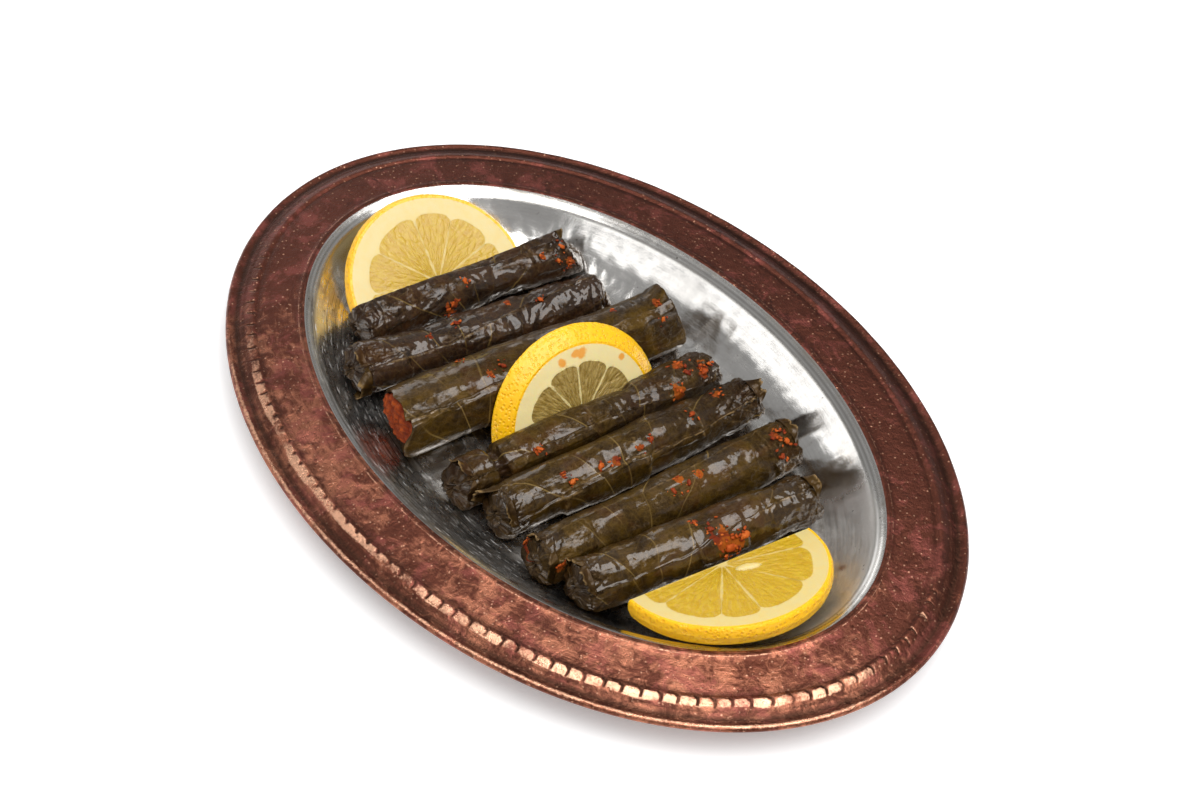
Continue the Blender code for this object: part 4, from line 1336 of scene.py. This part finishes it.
def slice_face(lemon, radius, pulp_radius, depth, direction, rays, rows):
    """One cut face as a grid of rays from the middle of the cut."""
    psi = np.linspace(-0.5 * math.pi, 0.5 * math.pi, rays)
    share = np.linspace(0.0, 1.0, rows)[:, None] ** 0.9
    dx, dy = np.sin(psi), np.cos(psi)
    reach = lemon.reach(radius, dy)
    u, v = share * (reach * dx), lemon.cut + share * (reach * dy)
    pulp, sac = pulp_paint(lemon, u, v, pulp_radius)
    rho = np.hypot(u, v)
    edge = np.minimum(smooth_step(radius - rho, 0.0, 0.6), smooth_step(v - lemon.cut, 0.0, 0.4))
    lift = sac_relief(lemon, sac, pulp) + 0.05 * layers(at(u, v) / 3, 2)
    stain = np.zeros(np.shape(u))
    if direction > 0:
        for seed_u, seed_v, aim in lemon.seeds:
            turn = math.radians(aim)
            long = (u - seed_u) * math.sin(turn) + (v - seed_v) * math.cos(turn)
            wide = (u - seed_u) * math.cos(turn) - (v - seed_v) * math.sin(turn)
            seed_shape = np.clip(1.0 - (long / 3.9) ** 2 - (wide / 1.35) ** 2, 0.0, 1.0)
            lift = lift + 0.9 * np.sqrt(seed_shape)
            pulp = pulp * (seed_shape <= 0.02)
        for spot_u, spot_v, size in lemon.stains:
            stain = stain + np.exp(-((u - spot_u) ** 2 + (v - spot_v) ** 2) / size ** 2)
    points = lemon.spot(u, v, lift * edge * direction - lemon.thick * depth)
    # Each cut face carries the slice's share of painted shade on the pulp and painted light on the
    # pith.
    return points, {"pulp": pulp, "rind": smooth_step(rho - radius, -1.15, -0.35),
                    "stain": np.clip(stain, 0, 1), "shade": 0 * rho + lemon.painted_light_and_shade, "sac": sac}


def slice_band(lemon, rays, rows):
    """The rind between the two cut faces, dimpled by its oil pores."""
    psi = np.linspace(-0.5 * math.pi, 0.5 * math.pi, rays)[None, :]
    depth = np.linspace(0.0, 1.0, rows)[:, None]
    mean = 0.5 * (lemon.front + lemon.back) + 0.5
    radius = np.interp(depth, (0.0, 0.12, 0.5, 0.9, 1.0),
                       (lemon.front - 0.5, lemon.front, mean, lemon.back, lemon.back - 0.5))
    reach = lemon.reach(radius, np.cos(psi))
    u, v = reach * np.sin(psi), lemon.cut + reach * np.cos(psi)
    points = lemon.spot(u, v, -lemon.thick * depth)
    outward = unit(u[..., None] * lemon.side + v[..., None] * lemon.up)
    pores = nearest_dots(points / 1.05, lemon.seed + 9)[0]
    edge = np.minimum(smooth_step(depth, 0.0, 0.12), smooth_step(1.0 - depth, 0.0, 0.12))
    lift = (-0.10 * (1.0 - smooth_step(pores, 0.15, 0.5))
            + 0.14 * layers(points / 3.2, 3, lemon.seed + 10)) * edge
    none = 0 * u
    return points + outward * lift[..., None], {"pulp": none, "rind": none + 1.0, "stain": none,
                                                "shade": none + depth, "sac": at(none)}


def slice_cut(lemon, columns, rows):
    """The straight cut between the two faces."""
    wide_front, wide_back = (math.sqrt((radius - 0.5) ** 2 - lemon.cut ** 2)
                             for radius in (lemon.front, lemon.back))
    depth = np.linspace(0.0, 1.0, rows)[:, None]
    side = np.linspace(-1.0, 1.0, columns)[None, :]
    middle = np.sin(math.pi * depth)
    bulge = 0.5 * (lemon.front + lemon.back) + 0.4 - max(wide_front, wide_back)
    u = side * (wide_front + (wide_back - wide_front) * depth)
    u = u + np.sign(side) * smooth_step(np.abs(side), 0.9, 1.0) * bulge * middle
    pulp = smooth_step(lemon.pulp - np.abs(u), 0.0, 0.6) * smooth_step(np.abs(u), 0.8, 1.6)
    grain = noise(at(u * 0.9, depth * 2.0), lemon.seed + 20)
    points = lemon.spot(u, lemon.cut + pulp * (0.16 * grain - 0.10) * middle,
                        -lemon.thick * depth)
    reach = lemon.front + (lemon.back - lemon.front) * depth
    return points, {"pulp": pulp, "rind": smooth_step(np.abs(u) - reach, -1.4, -0.7),
                    "stain": 0 * u, "shade": 0 * u, "sac": at(np.abs(u), depth * 0.4 + 3.0)}


def build_lemon(name, finish):
    lemon = LEMONS[name]
    points, faces, paint, total = [], [], {}, 0
    for outward, (block, marks) in (
            (lemon.normal, slice_face(lemon, lemon.front - 0.5, lemon.pulp, 0.0, 1.0, 201, 84)),
            (lemon.up, slice_band(lemon, 201, 22)),
            (-lemon.normal, slice_face(lemon, lemon.back - 0.5,
                                       lemon.pulp + lemon.back - lemon.front, 1.0, -1.0, 101, 44)),
            (-lemon.up, slice_cut(lemon, 121, 12))):
        made = grid_faces(*block.shape[:2], start=total)
        flipped = (grid_normals(block) @ outward).sum() < 0.0
        faces.append(made[:, ::-1] if flipped else made)
        points.append(block)
        total += block.shape[0] * block.shape[1]
        for title, values in marks.items():
            paint.setdefault(title, []).append(values)
    made = mesh_piece(name.replace("_slice", "_half_slice"), points, faces, [finish], paint)
    return place(made, "lemon", name)


# Settings


def colour_property(name, description, default):
    return FloatVectorProperty(name=name, description=description, default=default,
                               subtype="COLOR", size=3, min=0.0, max=1.0)


def length_property(name, description, default):
    return FloatProperty(name=name, description=description, default=default, unit="LENGTH")


class DishSizes(bpy.types.PropertyGroup):
    """Sizes of the dish."""
    half_length: length_property("Half length", "Half of the dish's long axis", DISH_BOX[1][0])
    half_width: length_property("Half width", "Half of the dish's short axis", DISH_BOX[1][1])
    nicks: IntProperty(name="Nicks", description="Punched marks round the ridge",
                       default=132, min=12)
    nick_depth: length_property("Nick depth", "How deep the punch marks are", 0.00030)
    hammer_depth: length_property("Hammer depth", "Depth of the hammer dents", 0.00009)


class DishColours(bpy.types.PropertyGroup):
    """Colours of the dish."""
    copper: colour_property("Copper", "Brown copper", (0.44, 0.168, 0.098))
    patina: colour_property("Patina", "Brown patina on the rim", (0.130, 0.042, 0.027))
    blot: colour_property("Blots", "Dark blots on the rim", (0.065, 0.024, 0.018))
    rosy: colour_property("Rosy patina", "Pink and purple patches", (0.36, 0.100, 0.082))
    # Bright copper from rubbing, also laid on as a painted highlight along the near side of the
    # rim.
    rubbed: colour_property("Rubbed copper", "Bright copper on high places", (0.86, 0.47, 0.30))
    grime: colour_property("Grime", "Dark grime in the groove", (0.05, 0.022, 0.014))
    tin: colour_property("Tin", "Clean tin lining", (0.82, 0.80, 0.77))
    dull_tin: colour_property("Dull tin", "Dulled tin lining", (0.40, 0.37, 0.335))
    tarnish: colour_property("Tarnish", "Dark streaks on the wall", (0.085, 0.070, 0.055))


class LeafSizes(bpy.types.PropertyGroup):
    """Relief of the leaves."""
    wrinkle_depth: length_property("Wrinkle depth", "Depth of the leaf's wrinkles", 0.00085)


class LeafColours(bpy.types.PropertyGroup):
    """Colours of the leaves."""
    olive: colour_property("Olive leaf", "Lit part of the olive leaves", (0.064, 0.034, 0.0035))
    olive_deep: colour_property("Deep olive", "Dark part of the olive leaves",
                                (0.018, 0.009, 0.002))
    dark: colour_property("Dark leaf", "Lit part of the dark leaves", (0.038, 0.016, 0.007))
    dark_deep: colour_property("Deep dark leaf", "Dark part of the dark leaves",
                               (0.009, 0.005, 0.004))
    brown: colour_property("Brown", "Brown clouds on the leaves", (0.050, 0.017, 0.0035))
    # Painted shade: near-black colour laid over crumpled leaf and the closed ends.
    crumple_shade: colour_property("Crumpled leaf", "Dark crumpled ends", (0.016, 0.008, 0.006))
    vein: colour_property("Vein", "Veins of the leaves", (0.22, 0.145, 0.045))
    torn: colour_property("Torn edge", "Pale torn edges", (0.28, 0.18, 0.075))
    stain: colour_property("Stain", "Red pepper stain", (0.16, 0.018, 0.006))
    sauce: colour_property("Sauce", "Orange sauce", (0.33, 0.075, 0.007))


class FillingColours(bpy.types.PropertyGroup):
    """Colours of the filling."""
    paste: colour_property("Paste", "Pepper paste", (0.46, 0.080, 0.010))
    deep: colour_property("Deep paste", "Paste between the grains", (0.15, 0.014, 0.005))
    rice: colour_property("Rice", "Stained rice grains", (0.68, 0.24, 0.045))


class LemonColours(bpy.types.PropertyGroup):
    """Colours of the lemon."""
    rind: colour_property("Rind", "Bright rind", (1.0, 0.54, 0.001))
    rind_deep: colour_property("Deep rind", "Rind in its pores", (0.90, 0.37, 0.001))
    pith: colour_property("Pith", "White of the peel", (0.68, 0.545, 0.22))
    pith_warm: colour_property("Warm pith", "Creamy parts of the pith", (0.72, 0.52, 0.16))
    # Painted light: the pith of the middle slice is painted lighter.
    painted_light_pith: colour_property("Light pith", "Pith of the middle slice", (1.0, 0.85, 0.44))
    pulp: colour_property("Pulp", "Lit pulp", (0.585, 0.378, 0.015))
    pulp_deep: colour_property("Deep pulp", "Pulp between the sacs", (0.525, 0.308, 0.008))
    # Painted shade: the pulp of the middle slice, deep and lit, is painted darker.
    painted_shade_pulp: colour_property("Shaded pulp", "Deep pulp of the middle slice",
                               (0.24, 0.155, 0.040))
    painted_shade_lit_pulp: colour_property("Dim pulp", "Lit pulp of the middle slice", (0.42, 0.30, 0.11))
    spot: colour_property("Sauce spot", "Orange spots on the pith", (0.88, 0.33, 0.008))


class StageSettings(bpy.types.PropertyGroup):
    """Floor, light and camera."""
    floor: colour_property("Floor", "Pale floor", (0.90, 0.90, 0.90))
    light: FloatProperty(name="Light", description="Power of the overhead light", default=16.2,
                         min=0.0, unit="POWER")
    side_light: FloatProperty(name="Side light", description="Power of the panels at the side",
                              default=2.1, min=0.0, unit="POWER")
    light_size: length_property("Light size", "Side of the overhead light", 1.1)
    fill: FloatProperty(name="Fill", description="Strength of the light all round", default=0.30,
                        min=0.0)
    lens: FloatProperty(name="Lens", description="Focal length", default=66.2, unit="CAMERA")


SETTINGS = {"dish_sizes": DishSizes, "dish_colours": DishColours, "leaf_sizes": LeafSizes,
            "leaf_colours": LeafColours, "filling_colours": FillingColours,
            "lemon_colours": LemonColours, "stage_settings": StageSettings}


# Operators


class BuildStage(bpy.types.Operator):
    """Build the floor, the lights and the camera"""
    bl_idname = "vine_rolls.stage"
    bl_label = "Stage"

    def execute(self, context):
        scene, setup = context.scene, context.scene.stage_settings
        side = np.linspace(-2500.0, 2500.0, 9)
        x, y = np.meshgrid(side, side, indexing="ij")
        # The floor glows faintly, as painted light that lightens the shadow under the dish.
        floor = mesh_piece("floor", [at(x, y, -0.02)], [grid_faces(9, 9)],
                           [plain_finish("floor_paper", tuple(setup.floor), 0.85, glow=0.28)])
        # Each light: name, width, height, power, place and the direction of its width
        for name, wide, tall, power, spot, along in (
                ("overhead", setup.light_size, setup.light_size, setup.light,
                 (0.35, 0.0, 1.0), (1.0, 0.0, 0.0)),
                ("low_panel", 0.80, 0.21, 0.36 * setup.side_light, (-0.990, -0.026, 0.139),
                 (0.0, -1.0, 0.0)),
                ("end_panel", 0.45, 0.36, 0.27 * setup.side_light, (-0.871, 0.317, 0.375),
                 (0.0, -1.0, 0.0)),
                ("high_panel", 1.40, 0.26, 0.64 * setup.side_light, (-0.564, -0.7215, 0.60),
                 (0.852, -0.327, 0.408))):
            lamp = bpy.data.lights.new(name, "AREA")
            lamp.shape, lamp.size, lamp.size_y, lamp.energy = "RECTANGLE", wide, tall, power
            holder = bpy.data.objects.new(name, lamp)
            holder.location = spot
            away = Vector(spot).normalized() if name != "overhead" else Vector((0.0, 0.0, 1.0))
            long = (Vector(along) - away * away.dot(Vector(along))).normalized()
            holder.rotation_euler = Matrix((long, away.cross(long), away)).transposed().to_euler()
            scene.collection.objects.link(holder)
        world = bpy.data.worlds.new("soft_room")
        world.use_nodes = True
        glow = world.node_tree.nodes["Background"].inputs
        glow["Color"].default_value, glow["Strength"].default_value = (1, 1, 1, 1), setup.fill
        scene.world = world
        scene.view_settings.view_transform = "Standard"
        view = bpy.data.cameras.new("camera")
        view.lens, view.sensor_width = setup.lens, 36.0
        view.shift_x, view.shift_y = 0.01275, 0.00175
        eye = bpy.data.objects.new("camera", view)
        right, up = Vector((0.6329, 0.7719, 0.0607)), Vector((-0.5824, 0.4229, 0.6943))
        back, spot = Vector((0.5102, -0.4747, 0.7171)), Vector((0.3316, -0.3086, 0.4789))
        turned = Matrix((right, up, back)).transposed().to_4x4()
        eye.matrix_world = Matrix.Translation(spot) @ turned
        scene.collection.objects.link(eye)
        scene.camera = eye
        return {"FINISHED"}


class BuildDish(bpy.types.Operator):
    """Build the hammered copper dish with its tin lining"""
    bl_idname = "vine_rolls.dish"
    bl_label = "Dish"

    def execute(self, context):
        build_dish()
        return {"FINISHED"}


class BuildRolls(bpy.types.Operator):
    """Build the seven vine leaf rolls"""
    bl_idname = "vine_rolls.rolls"
    bl_label = "Leaf rolls"

    def execute(self, context):
        colours = context.scene.leaf_colours
        finishes = {"olive": leaf_finish("oiled_olive_leaf", colours, colours.olive,
                                         colours.olive_deep),
                    "dark": leaf_finish("oiled_dark_leaf", colours, colours.dark,
                                        colours.dark_deep)}
        for name in ROLLS:
            build_roll(name, finishes)
        build_loose_edges(finishes["olive"])
        return {"FINISHED"}


class BuildFilling(bpy.types.Operator):
    """Build the filling of the open roll and the bits of pepper"""
    bl_idname = "vine_rolls.filling"
    bl_label = "Filling"

    def execute(self, context):
        finish = filling_finish(context.scene.filling_colours)
        build_filling(finish)
        build_pepper(finish)
        return {"FINISHED"}


class BuildLemons(bpy.types.Operator):
    """Build the three half slices of lemon"""
    bl_idname = "vine_rolls.lemons"
    bl_label = "Lemon slices"

    def execute(self, context):
        finish = lemon_finish(context.scene.lemon_colours)
        for name in LEMONS:
            build_lemon(name, finish)
        return {"FINISHED"}


OPERATORS = (BuildStage, BuildDish, BuildRolls, BuildFilling, BuildLemons)


class VineRollsPanel(bpy.types.Panel):
    """Sizes, colours and build steps of the dish of vine leaf rolls"""
    bl_idname = "VIEW3D_PT_vine_rolls"
    bl_label = "Vine leaf roll dish"
    bl_space_type = "VIEW_3D"
    bl_region_type = "UI"
    bl_category = "Vine Rolls"

    def draw(self, context):
        for title in SETTINGS:
            group = getattr(context.scene, title)
            box = self.layout.box()
            for key in group.bl_rna.properties.keys():
                if key not in ("rna_type", "name"):
                    box.prop(group, key)
        for operator in OPERATORS:
            self.layout.operator(operator.bl_idname)


def register():
    for group in SETTINGS.values():
        bpy.utils.register_class(group)
    for title, group in SETTINGS.items():
        setattr(bpy.types.Scene, title, PointerProperty(type=group))
    for item in (*OPERATORS, VineRollsPanel):
        bpy.utils.register_class(item)


def unregister():
    for item in reversed((*OPERATORS, VineRollsPanel)):
        bpy.utils.unregister_class(item)
    for title in SETTINGS:
        delattr(bpy.types.Scene, title)
    for group in reversed(list(SETTINGS.values())):
        bpy.utils.unregister_class(group)


def main():
    register()
    share_out_room()
    bpy.ops.vine_rolls.stage()
    bpy.ops.vine_rolls.dish()
    bpy.ops.vine_rolls.rolls()
    bpy.ops.vine_rolls.filling()
    bpy.ops.vine_rolls.lemons()
    bpy.context.view_layer.update()


if __name__ == "__main__":
    main()
